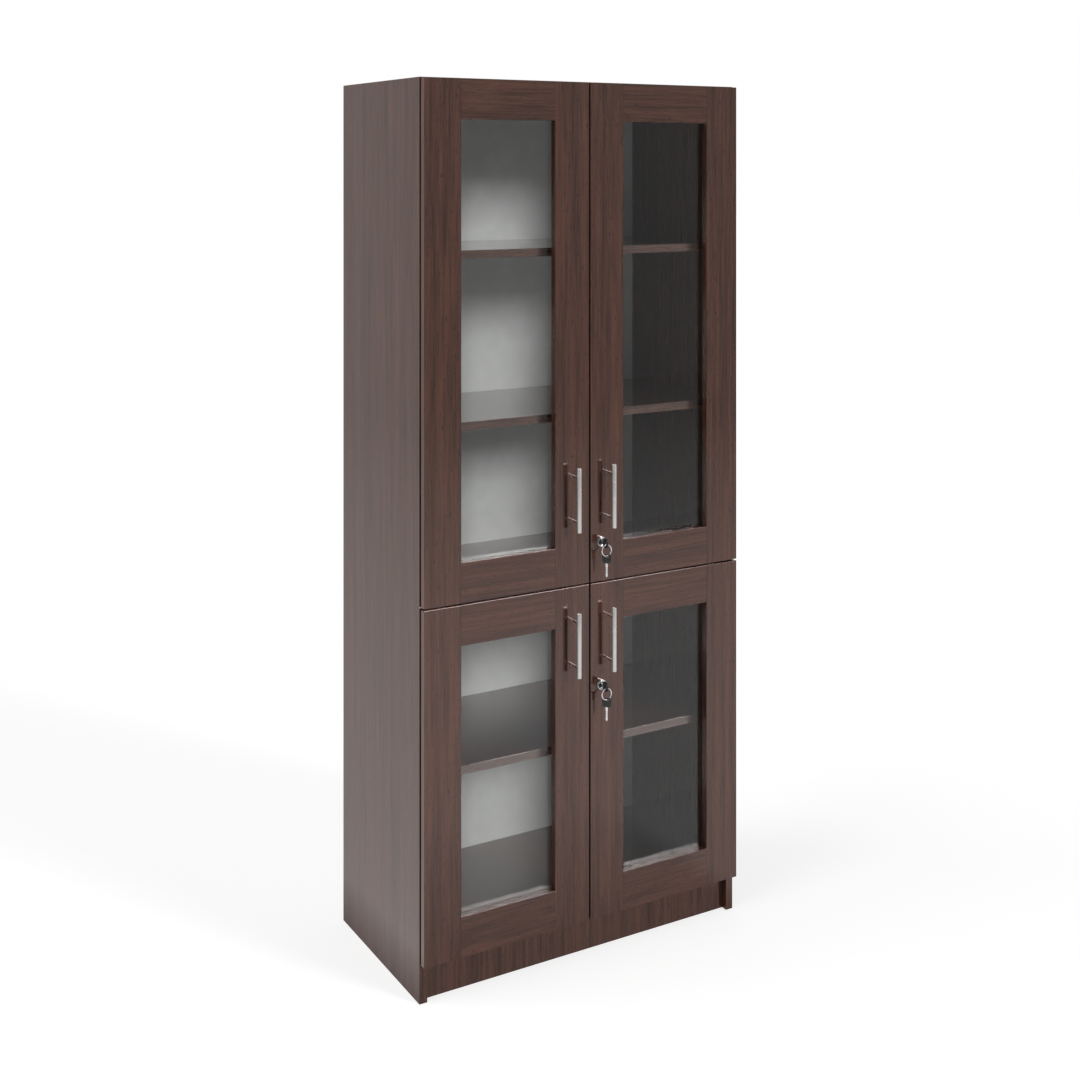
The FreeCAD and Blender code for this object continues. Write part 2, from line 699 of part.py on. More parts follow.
def glazing_beads():
    """Four beads behind each pane: uprights at full height, cross beads between them."""
    past = "2 * ( glass_lap + glass_gap + bead_wall )"
    cross = bead("CrossBead", "open_outer - open_inner + 2 * ( glass_lap - bead_lip )")
    for level in LEVELS:
        upright = bead("UprightBead", f"{level}_hi - {level}_lo - 2 * rail_height + {past}")
        middle = opening_middle(level)
        low, high = f"{level}_lo + rail_height", f"{level}_hi - rail_height"
        for side, sign in SIDES.items():
            left, right = across(sign, "open_inner", "open_outer")
            centre = on_side(sign, "open_middle")
            members = [
                copy(upright, (right, "door_back", middle)),
                copy(upright, (left, "door_back", middle), TURNED_LEFT),
                copy(cross, (centre, "door_back", high), Rotation(Vector(0, 1, 0), -90)),
                copy(cross, (centre, "door_back", low), Rotation(Vector(0, 1, 0), 90)),
            ]
            keep(f"{level}_{side}_glazing_beads", group(members))


def hinge_cups():
    """Hinge cups let into the back of each hinge stile, each with a flange on the stile."""
    rim = ("0", "flange_plate", "0")
    bowl = prism("-y", rim, "cup_diameter / 2", "cup_depth + flange_plate", DISC_SIDES)
    width, length = "flange_width / 2", "flange_length / 2"
    flange = block((f"-1 * {width}", width), ("0", "flange_plate"), (f"-1 * {length}", length))
    inside = "cup_diameter / 2 - cup_wall"
    hollow = prism("-y", rim, inside, "cup_depth + flange_plate - cup_wall", DISC_SIDES)
    cup = cut(fuse(bowl, flange), [hollow])
    for level in LEVELS:
        for side, sign in SIDES.items():
            x = on_side(sign, "cup_x")
            members = [copy(cup, (x, "door_back", z)) for z in HINGES[level]]
            keep(f"{level}_{side}_hinge_cups", group(members))


def handles():
    """Bar handles on two posts, with the screws that hold them from behind the stile."""
    grip = cylinder("+z", ("0", "0", "-1 * bar_length / 2"), "bar_diameter / 2", "bar_length")
    threads = []
    for step in (-1, 1):
        z = f"{step} * post_pitch / 2"
        grip = fuse(grip, prism("+y", ("0", "0", z), "post_diameter / 2", "bar_reach", DISC_SIDES))
        threads.append(prism("-y", ("0", "bar_reach", z), "screw_diameter / 2", "screw_bite"))
    handle = cut(grip, threads)
    origin = ("0", "0", "0")
    shank = prism("-y", origin, "screw_diameter / 2", "frame_thickness + screw_bite")
    screw = fuse(shank, prism("+y", origin, "screw_head_diameter / 2", "screw_head_height", DISC_SIDES))
    for level in LEVELS:
        for side, sign in SIDES.items():
            x, z = on_side(sign, "handle_x"), f"{level}_handle_z"
            members = [copy(handle, (x, "door_face - bar_reach", z))]
            for step in (-1, 1):
                members.append(copy(screw, (x, "door_back", f"{z} + {step} * post_pitch / 2")))
            keep(f"{level}_{side}_handle", group(members))


def lock_barrel():
    """Barrel with a raised rim, bored for the plug."""
    face, front = ("0", "0", "0"), ("0", "-1 * barrel_reach", "0")
    whole, radius = "barrel_reach + frame_thickness + body_tail", "barrel_diameter / 2"
    barrel = prism("-y", face, radius, "barrel_reach", ROUND_SIDES)
    body = prism("+y", face, "body_diameter / 2", "frame_thickness + body_tail", ROUND_SIDES)
    recess = prism("+y", front, f"{radius} - barrel_rim", "face_recess", ROUND_SIDES)
    bore = cylinder("+y", front, "plug_diameter / 2 + plug_gap", whole)
    return cut(fuse(barrel, body), [recess, bore])


def lock_plug():
    """Turning plug with its keyway and square tail."""
    front, end = "face_recess - barrel_reach", "frame_thickness + body_tail"
    round_part = cylinder("+y", ("0", front, "0"), "plug_diameter / 2", f"{end} - ( {front} )")
    square = ("-1 * tail_square / 2", "tail_square / 2")
    plug = fuse(round_part, block(square, (end, f"{end} + tail_length"), square))
    wide, tall = "blade_thickness / 2 + keyway_gap", "blade_width / 2 + keyway_gap"
    depth = (front, f"{front} + keyway_depth")
    return cut(plug, [block((f"-1 * ( {wide} )", wide), depth, (f"-1 * ( {tall} )", tall))])


def lock_cam():
    """Flat cam that hangs from the plug's tail."""
    body = new_body("LockCam")
    half, hole = "cam_width / 2", "tail_square / 2 + cam_gap"
    plate = eased(half, "-1 * cam_length", half, f"{half} - cam_gap")
    pad(body, sketch(body, "XZ_Plane", plate), "cam_thickness", back=True)
    square = rectangle((f"-1 * ( {hole} )", hole), (f"-1 * ( {hole} )", hole))
    pocket(body, sketch(body, "XZ_Plane", square), "3 * cam_thickness", symmetric=True)
    return body


def key():
    """Key with its head in +Y and its blade in -Y of its own frame, flat in its XY plane."""
    head = new_body("KeyHead")
    outline = eased("key_width / 2", "0", "key_head", "key_corner")
    pad(head, sketch(head, "XY_Plane", outline), "key_thickness", symmetric=True)
    slot_top = "key_head - key_slot_rim"
    slot = eased("key_slot_width / 2", f"{slot_top} - key_slot_height", slot_top, "key_slot_corner")
    pocket(head, sketch(head, "XY_Plane", slot), "3 * key_thickness", symmetric=True)
    blade = new_body("KeyBlade")
    edge = "blade_width / 2"
    shape = [
        (f"-1 * {edge}", "0"),
        (f"-1 * {edge}", "blade_point - blade_length"),
        (f"blade_point - {edge}", "-1 * blade_length"),
        (f"{edge} - blade_point", "-1 * blade_length"),
        (edge, "blade_point - blade_length"),
        (edge, "0"),
    ]
    pad(blade, sketch(blade, "XY_Plane", shape), "blade_thickness", symmetric=True)
    groove = "blade_groove_width / 2"
    strip = rectangle((f"-1 * {groove}", groove), ("-1 * blade_length", "0"))
    for face in (1, -1):
        level = f"{face} * blade_thickness / 2"
        pocket(blade, sketch(blade, "XY_Plane", strip, level), "blade_groove_depth", back=face < 0)
    return group([head, blade])


def nut(circle, height, hole):
    """Six-sided nut along +Y, with its hole."""
    return cut(prism("+y", ("0", "0", "0"), f"{circle} / 2", height, NUT_SIDES), [hole])


def locks():
    """Cylinder locks of the right-hand doors, each with its key, ring and spare key."""
    barrel, plug, cam, whole_key = lock_barrel(), lock_plug(), lock_cam(), key()
    body_hole = prism("+y", ("0", "0", "0"), "body_diameter / 2 + cam_gap", "nut_height", ROUND_SIDES)
    lock_nut = nut("nut_circle", "nut_height", body_hole)
    half = "( tail_square / 2 + cam_gap )"
    square, thickness = (f"-1 * {half}", half), "tail_length - cam_thickness"
    cam_nut = nut("cam_nut_circle", thickness, block(square, ("0", thickness), square))
    in_lock = Rotation(Vector(0, 0, 1), Vector(0, -1, 0), Vector(1, 0, 0), "ZYX")
    hanging = Rotation(Vector(0, 0, 1), -value("spare_turn")).multiply(Rotation(Vector(1, 0, 0), 90))
    tail = "door_back + body_tail"
    for level in LEVELS:
        z = f"{level}_handle_z - lock_drop"
        at_face = ("lock_x", "door_face", z)
        keep(f"{level}_lock_barrel", group([
            copy(barrel, at_face),
            copy(lock_nut, ("lock_x", "door_back", z))]))
        keep(f"{level}_lock_plug", group([
            copy(plug, at_face),
            copy(cam, ("lock_x", tail, z)),
            copy(cam_nut, ("lock_x", f"{tail} + cam_thickness", z))]))
        keep(f"{level}_key", copy(whole_key, ("lock_x", "key_y", z), in_lock))
        keep(f"{level}_key_ring", key_ring(f"{z} - ring_drop"))
        keep(f"{level}_spare_key", copy(whole_key, ("lock_x", "slot_y", f"{z} - spare_drop"), hanging))


def key_ring(z):
    """Flat ring of split wire, drawn closed."""
    at = ("lock_x", "slot_y - wire_radius", z)
    outside = prism("+y", at, "ring_radius + wire_radius", "2 * wire_radius", RING_SIDES)
    inside = prism("+y", at, "ring_radius - wire_radius", "2 * wire_radius", RING_SIDES)
    return cut(outside, [inside])


def carcass():
    for side, sign in SIDES.items():
        side_panel(side, sign)
    for name, top in FIXED_PANELS.items():
        fixed_panel(name, top)
    for name in PLINTHS:
        plinth(name)
    back_panel()
    for name in LOOSE_SHELVES:
        loose_shelf(name)
    shelf_pins()
    cam_fittings()
    panel_dowels()
    hinge_arms()
    door_bumpers()


def doors():
    for level in LEVELS:
        for side, sign in SIDES.items():
            hinge_stile(side, sign, level)
            meeting_stile(side, sign, level)
            rail(side, sign, level, "top")
            rail(side, sign, level, "bottom")
            glass(side, sign, level)
    glazing_beads()
    hinge_cups()
    handles()


def write_parts():
    """Check every object, then write one file per sub-part."""
    doc.recompute()
    failed = [item.Label for item in doc.Objects if {"Invalid", "Error"} & set(item.State)]
    if failed:
        raise RuntimeError(f"failed objects: {failed}")
    shapes = {node.Label: Part.getShape(node) for node in nodes}
    for label, shape in shapes.items():
        if shape.isNull() or not shape.isValid():
            raise RuntimeError(f"bad shape: {label}")
    os.makedirs("parts", exist_ok=True)
    for label, shape in shapes.items():
        shape.exportStep(f"parts/{label}.step")
    print(f"{len(shapes)} sub-parts written")


carcass()
doors()
locks()
write_parts()
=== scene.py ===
"""Bookcase with glass doors: finishes its boards, doors and fittings, and sets it in a white studio."""

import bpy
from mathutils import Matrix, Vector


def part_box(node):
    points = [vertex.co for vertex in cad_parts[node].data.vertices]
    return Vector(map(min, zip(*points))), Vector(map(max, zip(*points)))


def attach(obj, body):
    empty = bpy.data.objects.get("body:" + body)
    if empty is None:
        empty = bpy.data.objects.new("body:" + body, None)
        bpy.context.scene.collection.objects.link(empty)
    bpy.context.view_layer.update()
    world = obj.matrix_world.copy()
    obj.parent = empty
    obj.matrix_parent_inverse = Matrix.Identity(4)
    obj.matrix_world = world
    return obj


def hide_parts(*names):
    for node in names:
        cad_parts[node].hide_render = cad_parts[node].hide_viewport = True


bl_info = {
    "name": "Bookcase with glass doors",
    "version": (1, 0, 0),
    "blender": (4, 5, 0),
    "location": "3D View > Sidebar > Bookcase",
    "description": "Finishes the boards, doors, handles, locks and keys of a bookcase",
    "category": "Object",
}

from math import atan2, cos, pi, radians, sin

import bmesh
import bpy
from bpy.props import FloatProperty, FloatVectorProperty, PointerProperty
from mathutils import Matrix, Vector

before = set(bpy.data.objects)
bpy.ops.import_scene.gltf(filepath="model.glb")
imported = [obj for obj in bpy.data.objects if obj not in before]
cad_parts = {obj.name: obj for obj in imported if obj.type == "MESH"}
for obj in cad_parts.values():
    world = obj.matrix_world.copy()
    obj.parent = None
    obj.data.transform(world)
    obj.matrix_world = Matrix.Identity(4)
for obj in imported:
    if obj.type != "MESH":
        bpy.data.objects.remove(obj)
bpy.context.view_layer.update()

LEVELS = ("upper", "lower")
SIDES = ("left", "right")
DOORS = [(level, side) for level in LEVELS for side in SIDES]
X_GRAIN, Z_GRAIN = 0, 2
UPRIGHT_BOARDS = ("left_side_panel", "right_side_panel", "front_plinth", "rear_plinth")
CROSS_BOARDS = ("top_panel", "bottom_panel", "fixed_shelf", "lower_shelf", "upper_shelf_low",
                "upper_shelf_high")

# Edges that turn by more than SHARP are rounded, and new edges that turn by less than SMOOTH are smooth.
SHARP = radians(35.0)
SMOOTH = radians(40.0)
# Corners closer than this become one, in a new shape and in a CAD node.
SAME_CORNER = 0.0000005
SAME_CAD_CORNER = 0.00001
# The range that noise seldom leaves.
NOISE_LOW, NOISE_HIGH = 0.3, 0.7
# Cuts in both sides of a key's blade from its head to its tip, as shares of the deepest tooth.
KEY_CUTS = (0.0, 0.0, 0.0, 0.0, 0.0, 0.25, 0.8, 0.8, 0.3, 1.0, 1.0, 0.4, 0.4, 0.9, 0.9, 0.2, 0.5, 0.5,
            0.1, 0.6, 2.2)


def length(label, about, default):
    """Property for a length in metres."""
    return FloatProperty(name=label, description=about, default=default, min=0.0,
                         subtype="DISTANCE", unit="LENGTH", precision=5)


def angle(label, about, degrees):
    """Property for an angle."""
    return FloatProperty(name=label, description=about, default=radians(degrees), subtype="ANGLE")


def share(label, about, default):
    """Property for a share of a whole."""
    return FloatProperty(name=label, description=about, default=default, min=0.0, max=1.0,
                         subtype="FACTOR")


def amount(label, about, default):
    """Property for a number that isn't below zero."""
    return FloatProperty(name=label, description=about, default=default, min=0.0)


def colour(label, about, default):
    """Property for a colour."""
    return FloatVectorProperty(name=label, description=about, default=default, min=0.0, max=1.0,
                               subtype="COLOR", size=3)


class BookcaseWood(bpy.types.PropertyGroup):
    """Dark streaked laminate of the boards and door frames, and the white back panel"""

    light_streak: colour("Light streak", "Brown of the lighter streaks", (0.0834, 0.0344, 0.0219))
    dark_streak: colour("Dark streak", "Brown of the darker streaks", (0.0218, 0.0099, 0.0069))
    pore: colour("Pore", "Near-black of the short pores", (0.010, 0.007, 0.006))
    lacquer_tint: colour("Lacquer tint", "Tint of the mirrored light seen straight on", (1.0, 0.78, 0.75))
    lacquer_gloss: share("Lacquer gloss", "Strength of the mirrored light", 0.63)
    roughness: share("Roughness", "Roughness of the lacquer", 0.12)
    shelf_polish: share("Shelf polish", "Extra gloss of the shelves and cross panels", 0.6)
    streak_width: length("Streak width", "Width of a streak across the grain", 0.0075)
    streak_length: length("Streak length", "Length of a streak along the grain", 0.22)
    edge_round: length("Edge rounding", "Rounding of the boards' and bottom rails' edges", 0.0003)
    door_round: length("Door edge rounding", "Rounding of the stiles' and top rails' edges", 0.0004)
    back_light: colour("Back, light", "Lighter blotches of the white back panel", (0.66, 0.66, 0.655))
    back_dark: colour("Back, dark", "Darker blotches of the white back panel", (0.61, 0.61, 0.605))
    back_round: length("Back edge rounding", "Rounding of the back panel's edges", 0.0002)


class BookcaseGlass(bpy.types.PropertyGroup):
    """Panes and their beads"""

    tint: colour("Pane tint", "Tint of light through a pane", (0.97, 0.985, 0.98))
    bending: FloatProperty(name="Index", description="How strongly a pane bends and mirrors light",
                           default=1.36, min=1.0, max=2.0)
    bead: colour("Bead", "Plastic of the glazing beads", (0.022, 0.017, 0.015))
    lamp_tint: colour("Lamp tint", "Tint of lamp light through a pane", (0.94, 0.95, 0.945))
    pane_round: length("Pane edge rounding", "Rounding of the panes' edges", 0.0004)


class BookcaseMetal(bpy.types.PropertyGroup):
    """Finishes of handles, locks, hinges and small fittings"""

    satin_steel: colour("Satin steel", "Steel of the handles", (0.61, 0.60, 0.585))
    bareness: share("Bareness", "How much of the handles' satin lacquer lets the bare steel through", 0.65)
    # The plugs' dark tone is painted shade for the lock's recessed face.
    plug: colour("Plug", "Darkened metal of the turning plugs", (0.10, 0.10, 0.10))
    chrome: colour("Chrome", "Plating of locks, handle posts, rings and blades", (0.76, 0.76, 0.76))
    nickel: colour("Nickel", "Plating of hinges and pins", (0.60, 0.59, 0.57))
    zinc: colour("Zinc", "Cast zinc of the cam fittings", (0.42, 0.43, 0.44))
    key_black: colour("Key black", "Plastic of the key heads", (0.012, 0.012, 0.013))


class BookcaseFittings(bpy.types.PropertyGroup):
    """Hinges with their screws, pins, cam fittings, dowels and bumpers"""

    beech_light: colour("Beech, light", "Lighter blotches of the dowels", (0.52, 0.33, 0.18))
    beech_dark: colour("Beech, dark", "Darker blotches of the dowels", (0.44, 0.27, 0.14))
    rubber_light: colour("Rubber, light", "Lighter blotches of the bumpers", (0.60, 0.60, 0.58))
    rubber_dark: colour("Rubber, dark", "Darker blotches of the bumpers", (0.52, 0.52, 0.50))
    hinge_round: length("Hinge rounding", "Rounding of the hinges' edges", 0.0003)
    pin_round: length("Pin rounding", "Rounding of the shelf pins and cam fittings", 0.0002)
    soft_round: length("Dowel rounding", "Rounding of the dowels and bumpers", 0.0004)
    hinge_inset: length("Hinge inset", "End of a door's stile to its outer hinges", 0.1)
    hinge_setback: length("Hinge setback", "Front of a side panel to the middle of a hinge plate", 0.037)
    cup_step: length("Cup screw step", "Middle of a cup up and down to its screws", 0.0235)
    plate_step: length("Plate screw step", "Middle of a hinge plate up and down to its screws", 0.0185)
    plate_face: length("Plate face", "Side panel to the face of a hinge plate", 0.0025)
    arm_face: length("Arm face", "Side panel to the face of a hinge arm", 0.0125)
    arm_front: length("Arm front screw", "Middle of a hinge plate forwards to the arm's screw", 0.012)
    arm_back: length("Arm back screw", "Middle of a hinge plate backwards to the arm's screw", 0.014)
    screw_radius: length("Screw head radius", "Screws of cups and hinge plates", 0.0034)
    screw_height: length("Screw head height", "Screws of cups and hinge plates", 0.0014)
    arm_screw_radius: length("Arm screw head radius", "Screws of the hinge arms", 0.0030)
    arm_screw_height: length("Arm screw head height", "Screws of the hinge arms", 0.0010)


class BookcaseHandle(bpy.types.PropertyGroup):
    """Bar handles on two posts"""

    post_radius: length("Post radius", "Radius of a handle post", 0.00275)
    post_pitch: length("Post pitch", "Distance between the two posts", 0.096)
    end_chamfer: length("End chamfer", "Chamfer on the ends of the bar", 0.0004)
    foot: length("Foot", "How far a post's foot stands out round the post", 0.0003)
    screw_radius: length("Screw head radius", "Radius of a handle screw's head", 0.004)
    screw_height: length("Screw head height", "Height of a handle screw's head", 0.0025)
    bar_round: length("Bar rounding", "Rounding of the chamfers' edges", 0.0002)


class BookcaseLock(bpy.types.PropertyGroup):
    """Cylinder locks with plug and cam"""

    barrel_radius: length("Barrel radius", "Barrel in front of the door", 0.01075)
    rim: length("Rim", "Raised rim round the lock's face", 0.002)
    recess: length("Recess", "Lock's face behind its rim", 0.001)
    body_radius: length("Body radius", "Barrel through the door", 0.0094)
    bore_radius: length("Bore radius", "Bore for the plug", 0.00605)
    plug_radius: length("Plug radius", "Turning plug", 0.006)
    tail: length("Tail", "Barrel behind the door", 0.004)
    cam_width: length("Cam width", "Cam behind the door", 0.015)
    cam_thickness: length("Cam thickness", "Cam behind the door", 0.002)
    nut_height: length("Nut height", "Nut that holds the barrel", 0.003)
    nut_play: length("Nut play", "Barrel to the hole of its nut", 0.0001)
    rounding: length("Rounding", "Rounding of the barrel's edges", 0.00035)
    keyway_depth: length("Keyway depth", "Front of the plug to the end of its keyway", 0.0255)
    keyway_play: length("Keyway play", "Blade to the sides of the keyway", 0.0002)
    cam_round: length("Cam rounding", "Rounding of the cam's edges", 0.0003)
    cam_flat: length("Cam flat", "Half of the straight end between the cam's corners", 0.0002)
    stud_radius: length("Stud radius", "Plug's stud that carries the cam", 0.0028)
    stud_length: length("Stud length", "Plug's stud behind the door", 0.005)
    stud_chamfer: length("Stud chamfer", "Chamfer on the end of the stud", 0.0006)
    cam_nut_circle: length("Cam nut circle", "Corner circle's radius of the cam's nut", 0.0055)
    cam_nut_height: length("Cam nut height", "Nut that holds the cam", 0.003)


class BookcaseKey(bpy.types.PropertyGroup):
    """Keys with plastic heads, and the rings that join them"""

    width: length("Width", "Head, across", 0.020)
    head: length("Head", "Head, along", 0.020)
    thickness: length("Thickness", "Head", 0.003)
    corner: length("Corner", "Rounded corners of the head", 0.006)
    slot_width: length("Slot width", "Slot in the head, across", 0.0095)
    slot_height: length("Slot height", "Slot in the head, along", 0.005)
    slot_rim: length("Slot rim", "End of the head to the slot", 0.0025)
    blade_length: length("Blade length", "Steel blade", 0.030)
    blade_width: length("Blade width", "Steel blade", 0.005)
    blade_thickness: length("Blade thickness", "Steel blade", 0.002)
    wire: length("Ring wire", "Thickness of one turn of the ring's wire", 0.00064)
    wire_width: length("Ring wire width", "Width of the ring's flat wire", 0.0019)
    wire_inset: length("Ring wire inset", "Outside of the ring to the middle of its wire", 0.001)
    ring_start: angle("Ring start", "Where the ring's wire starts", 50.0)
    slot_corner: length("Slot corner", "Rounded corners of the slot", 0.002)
    head_round: length("Head rounding", "Rounding of the head's edges", 0.0006)
    cut: length("Deepest cut", "Deepest tooth in a side of the blade", 0.001)
    groove_wall: length("Groove wall", "Width of the groove's sloped walls", 0.0002)
    groove_depth: length("Groove depth", "Depth of the groove along the blade", 0.0004)
    blade_round: length("Blade rounding", "Rounding of the blade's edges", 0.0001)


class BookcaseStage(bpy.types.PropertyGroup):
    """White studio, lamps and camera"""

    camera_place: FloatVectorProperty(name="Camera place", description="Where the camera stands",
                                      default=(-1.7313, -2.9577, 1.7147), subtype="XYZ", unit="LENGTH")
    camera_turn: angle("Camera turn", "Turn of the level camera about the upright", -30.148)
    lens: FloatProperty(name="Lens", description="Focal length in millimetres", default=50.09, min=1.0)
    drop: FloatProperty(name="Frame drop", description="Shift of the level camera's frame", default=-0.3453)
    lamp_strength: amount("Lamp strength", "Strength of the key lamp", 1.9)
    lamp_side: angle("Lamp side", "Lamp's turn to the right of the fronts", 29.0)
    lamp_rise: angle("Lamp rise", "Lamp's height over the floor as an angle", 21.5)
    lamp_spread: angle("Lamp spread", "Angular size of the lamp", 16.0)
    side_strength: amount("Side lamp strength", "Strength of the wide lamp at the left", 1.9)
    side_turn: angle("Side lamp side", "Side lamp's turn to the right of the fronts", -95.0)
    side_rise: angle("Side lamp rise", "Side lamp's height over the floor as an angle", 30.0)
    side_spread: angle("Side lamp spread", "Angular size of the side lamp", 60.0)
    fill: share("Fill", "Soft light from all round", 0.30)
    near_tone: share("Near tone", "Mirrored room behind the camera", 0.34)
    far_tone: share("Far tone", "Mirrored room behind the bookcase", 0.66)
    floor_reach: length("Floor reach", "Middle of the floor to its edges", 40.0)
    floor_tone: share("Floor tone", "Paleness of the floor for the light that it throws back", 0.80)
    floor_shade: share("Floor shade", "Paleness of the floor as seen, over its glow", 0.45)
    floor_glow: share("Floor glow", "Glow of the floor as seen", 0.68)
    beyond_tone: share("Beyond tone", "Mirrored floor behind the bookcase", 0.78)
    # Painted shade: how dark the mirrored floor is painted at the plinth, where the bookcase shades it.
    plinth_tone: share("Plinth tone", "Mirrored floor at the plinth", 0.45)
    white_reach: length("White reach", "Bookcase to where the mirrored floor starts to fade", 1.8)
    fade_reach: length("Fade reach", "Bookcase to where the mirrored floor has the room's tone", 7.0)


class BookcaseSettings(bpy.types.PropertyGroup):
    """Everything that can be changed on the bookcase"""

    wood: PointerProperty(type=BookcaseWood)
    glass: PointerProperty(type=BookcaseGlass)
    metal: PointerProperty(type=BookcaseMetal)
    fittings: PointerProperty(type=BookcaseFittings)
    handle: PointerProperty(type=BookcaseHandle)
    lock: PointerProperty(type=BookcaseLock)
    key: PointerProperty(type=BookcaseKey)
    stage: PointerProperty(type=BookcaseStage)


def new_finish(name):
    """Material with one shader; gives the material, its node tree and the shader."""
    finish = bpy.data.materials.new(name)
    finish.use_nodes = True
    tree = finish.node_tree
    tree.nodes.clear()
    surface = tree.nodes.new("ShaderNodeOutputMaterial")
    shader = tree.nodes.new("ShaderNodeBsdfPrincipled")
    tree.links.new(shader.outputs["BSDF"], surface.inputs["Surface"])
    return finish, tree, shader


def pattern(tree, size, detail=3.0, roughness=0.55):
    """Noise whose blotches have the given size along X, Y and Z, in metres."""
    place = tree.nodes.new("ShaderNodeTexCoord")
    stretch = tree.nodes.new("ShaderNodeMapping")
    stretch.inputs["Scale"].default_value = [1.0 / s for s in size]
    noise = tree.nodes.new("ShaderNodeTexNoise")
    noise.inputs["Scale"].default_value = 1.0
    noise.inputs["Detail"].default_value = detail
    noise.inputs["Roughness"].default_value = roughness
    tree.links.new(place.outputs["Object"], stretch.inputs["Vector"])
    tree.links.new(stretch.outputs["Vector"], noise.inputs["Vector"])
    return noise.outputs[0]


def spread(tree, value, low, high, new_low=0.0, new_high=1.0):
    """Stretches value's low to high range over a new range."""
    node = tree.nodes.new("ShaderNodeMapRange")
    node.inputs["From Min"].default_value = low
    node.inputs["From Max"].default_value = high
    node.inputs["To Min"].default_value = new_low
    node.inputs["To Max"].default_value = new_high
    tree.links.new(value, node.inputs["Value"])
    return node.outputs["Result"]


def combine(tree, operation, first, second):
    """Arithmetic on a socket and a socket or number."""
    node = tree.nodes.new("ShaderNodeMath")
    node.operation = operation
    for entry, value in zip(node.inputs, (first, second)):
        if isinstance(value, float):
            entry.default_value = value
        else:
            tree.links.new(value, entry)
    return node.outputs["Value"]


def blend(tree, factor, first, second):
    """Mixes two colours, each a socket or an RGB triple."""
    node = tree.nodes.new("ShaderNodeMix")
    node.data_type = "RGBA"
    tree.links.new(factor, node.inputs[0])
    for entry, value in ((node.inputs[6], first), (node.inputs[7], second)):
        if isinstance(value, bpy.types.NodeSocket):
            tree.links.new(value, entry)
        else:
            entry.default_value = (*value, 1.0)
    return node.outputs[2]


def relief(tree, shader, height, depth):
    """Raises the shader's surface by a height pattern of the given depth in metres."""
    node = tree.nodes.new("ShaderNodeBump")
    node.inputs["Distance"].default_value = depth
    tree.links.new(height, node.inputs["Height"])
    tree.links.new(node.outputs["Normal"], shader.inputs["Normal"])


def choose(tree, factor, first, second):
    """Mixes two shaders."""
    choice = tree.nodes.new("ShaderNodeMixShader")
    for entry, value in zip(choice.inputs, (factor, first, second)):
        tree.links.new(value, entry)
    return choice.outputs["Shader"]


def show(tree, shader):
    """Makes a shader what the material shows."""
    surface = next(node for node in tree.nodes if node.type == "OUTPUT_MATERIAL")
    tree.links.new(shader, surface.inputs["Surface"])


def wood_finish(name, grain, wood, polish=0.0):
    """Glossy dark laminate whose streaks and pores run along one axis."""
    streak_share, hair_share, band_share = 0.36, 0.34, 0.30
    pore_darkness, pore_depth = 0.8, 0.0000025
    smoother, rougher = 0.02, 0.04
    lacquer_index, coat_roughness = 1.6, 0.06

    def layer(wide, long, low, high, detail, roughness=0.55):
        """Noise so many times as wide and long as a streak, with its low to high range stretched."""
        size = [wide * wood.streak_width] * 3
        size[grain] = long * wood.streak_length
        return spread(tree, pattern(tree, size, detail, roughness), low, high)

    finish, tree, shader = new_finish(name)
    streaks = layer(1.0, 1.0, 0.36, 0.64, 4.0, 0.6)
    hairs = layer(0.4, 0.5, 0.35, 0.65, 2.0)
    bands = layer(2.6, 5.0, 0.38, 0.62, 3.0)
    pores = layer(0.35, 1.0 / 12.0, 0.63, 0.72, 1.0)
    figure = combine(tree, "MULTIPLY", streaks, streak_share)
    for marks, portion in ((hairs, hair_share), (bands, band_share)):
        figure = combine(tree, "ADD", figure, combine(tree, "MULTIPLY", marks, portion))
    tone = blend(tree, spread(tree, figure, 0.12, 0.88), wood.dark_streak, wood.light_streak)
    tone = blend(tree, combine(tree, "MULTIPLY", pores, pore_darkness), tone, wood.pore)
    rough = spread(tree, hairs, 0.0, 1.0, wood.roughness - smoother, wood.roughness + rougher)
    tree.links.new(tone, shader.inputs["Base Color"])
    tree.links.new(rough, shader.inputs["Roughness"])
    relief(tree, shader, combine(tree, "SUBTRACT", figure, pores), pore_depth)
    shader.inputs["IOR"].default_value = lacquer_index
    shader.inputs["Specular IOR Level"].default_value = wood.lacquer_gloss
    shader.inputs["Specular Tint"].default_value = (*wood.lacquer_tint, 1.0)
    shader.inputs["Coat Weight"].default_value = polish
    shader.inputs["Coat Roughness"].default_value = coat_roughness
    shader.inputs["Coat IOR"].default_value = lacquer_index
    return finish


def painted_finish(name, light, dark, roughness, grain, depth):
    """Plain material whose tone varies in blotches, and whose roughness and relief vary in a fine grain."""
    blotch, uneven = 30 * grain, 0.06
    finish, tree, shader = new_finish(name)
    blotches = spread(tree, pattern(tree, (blotch,) * 3, 3.0), NOISE_LOW, NOISE_HIGH)
    grains = pattern(tree, (grain,) * 3, 2.0)
    rough = spread(tree, grains, NOISE_LOW, NOISE_HIGH, roughness - uneven, roughness + uneven)
    tree.links.new(blend(tree, blotches, dark, light), shader.inputs["Base Color"])
    tree.links.new(rough, shader.inputs["Roughness"])
    relief(tree, shader, grains, depth)
    return finish


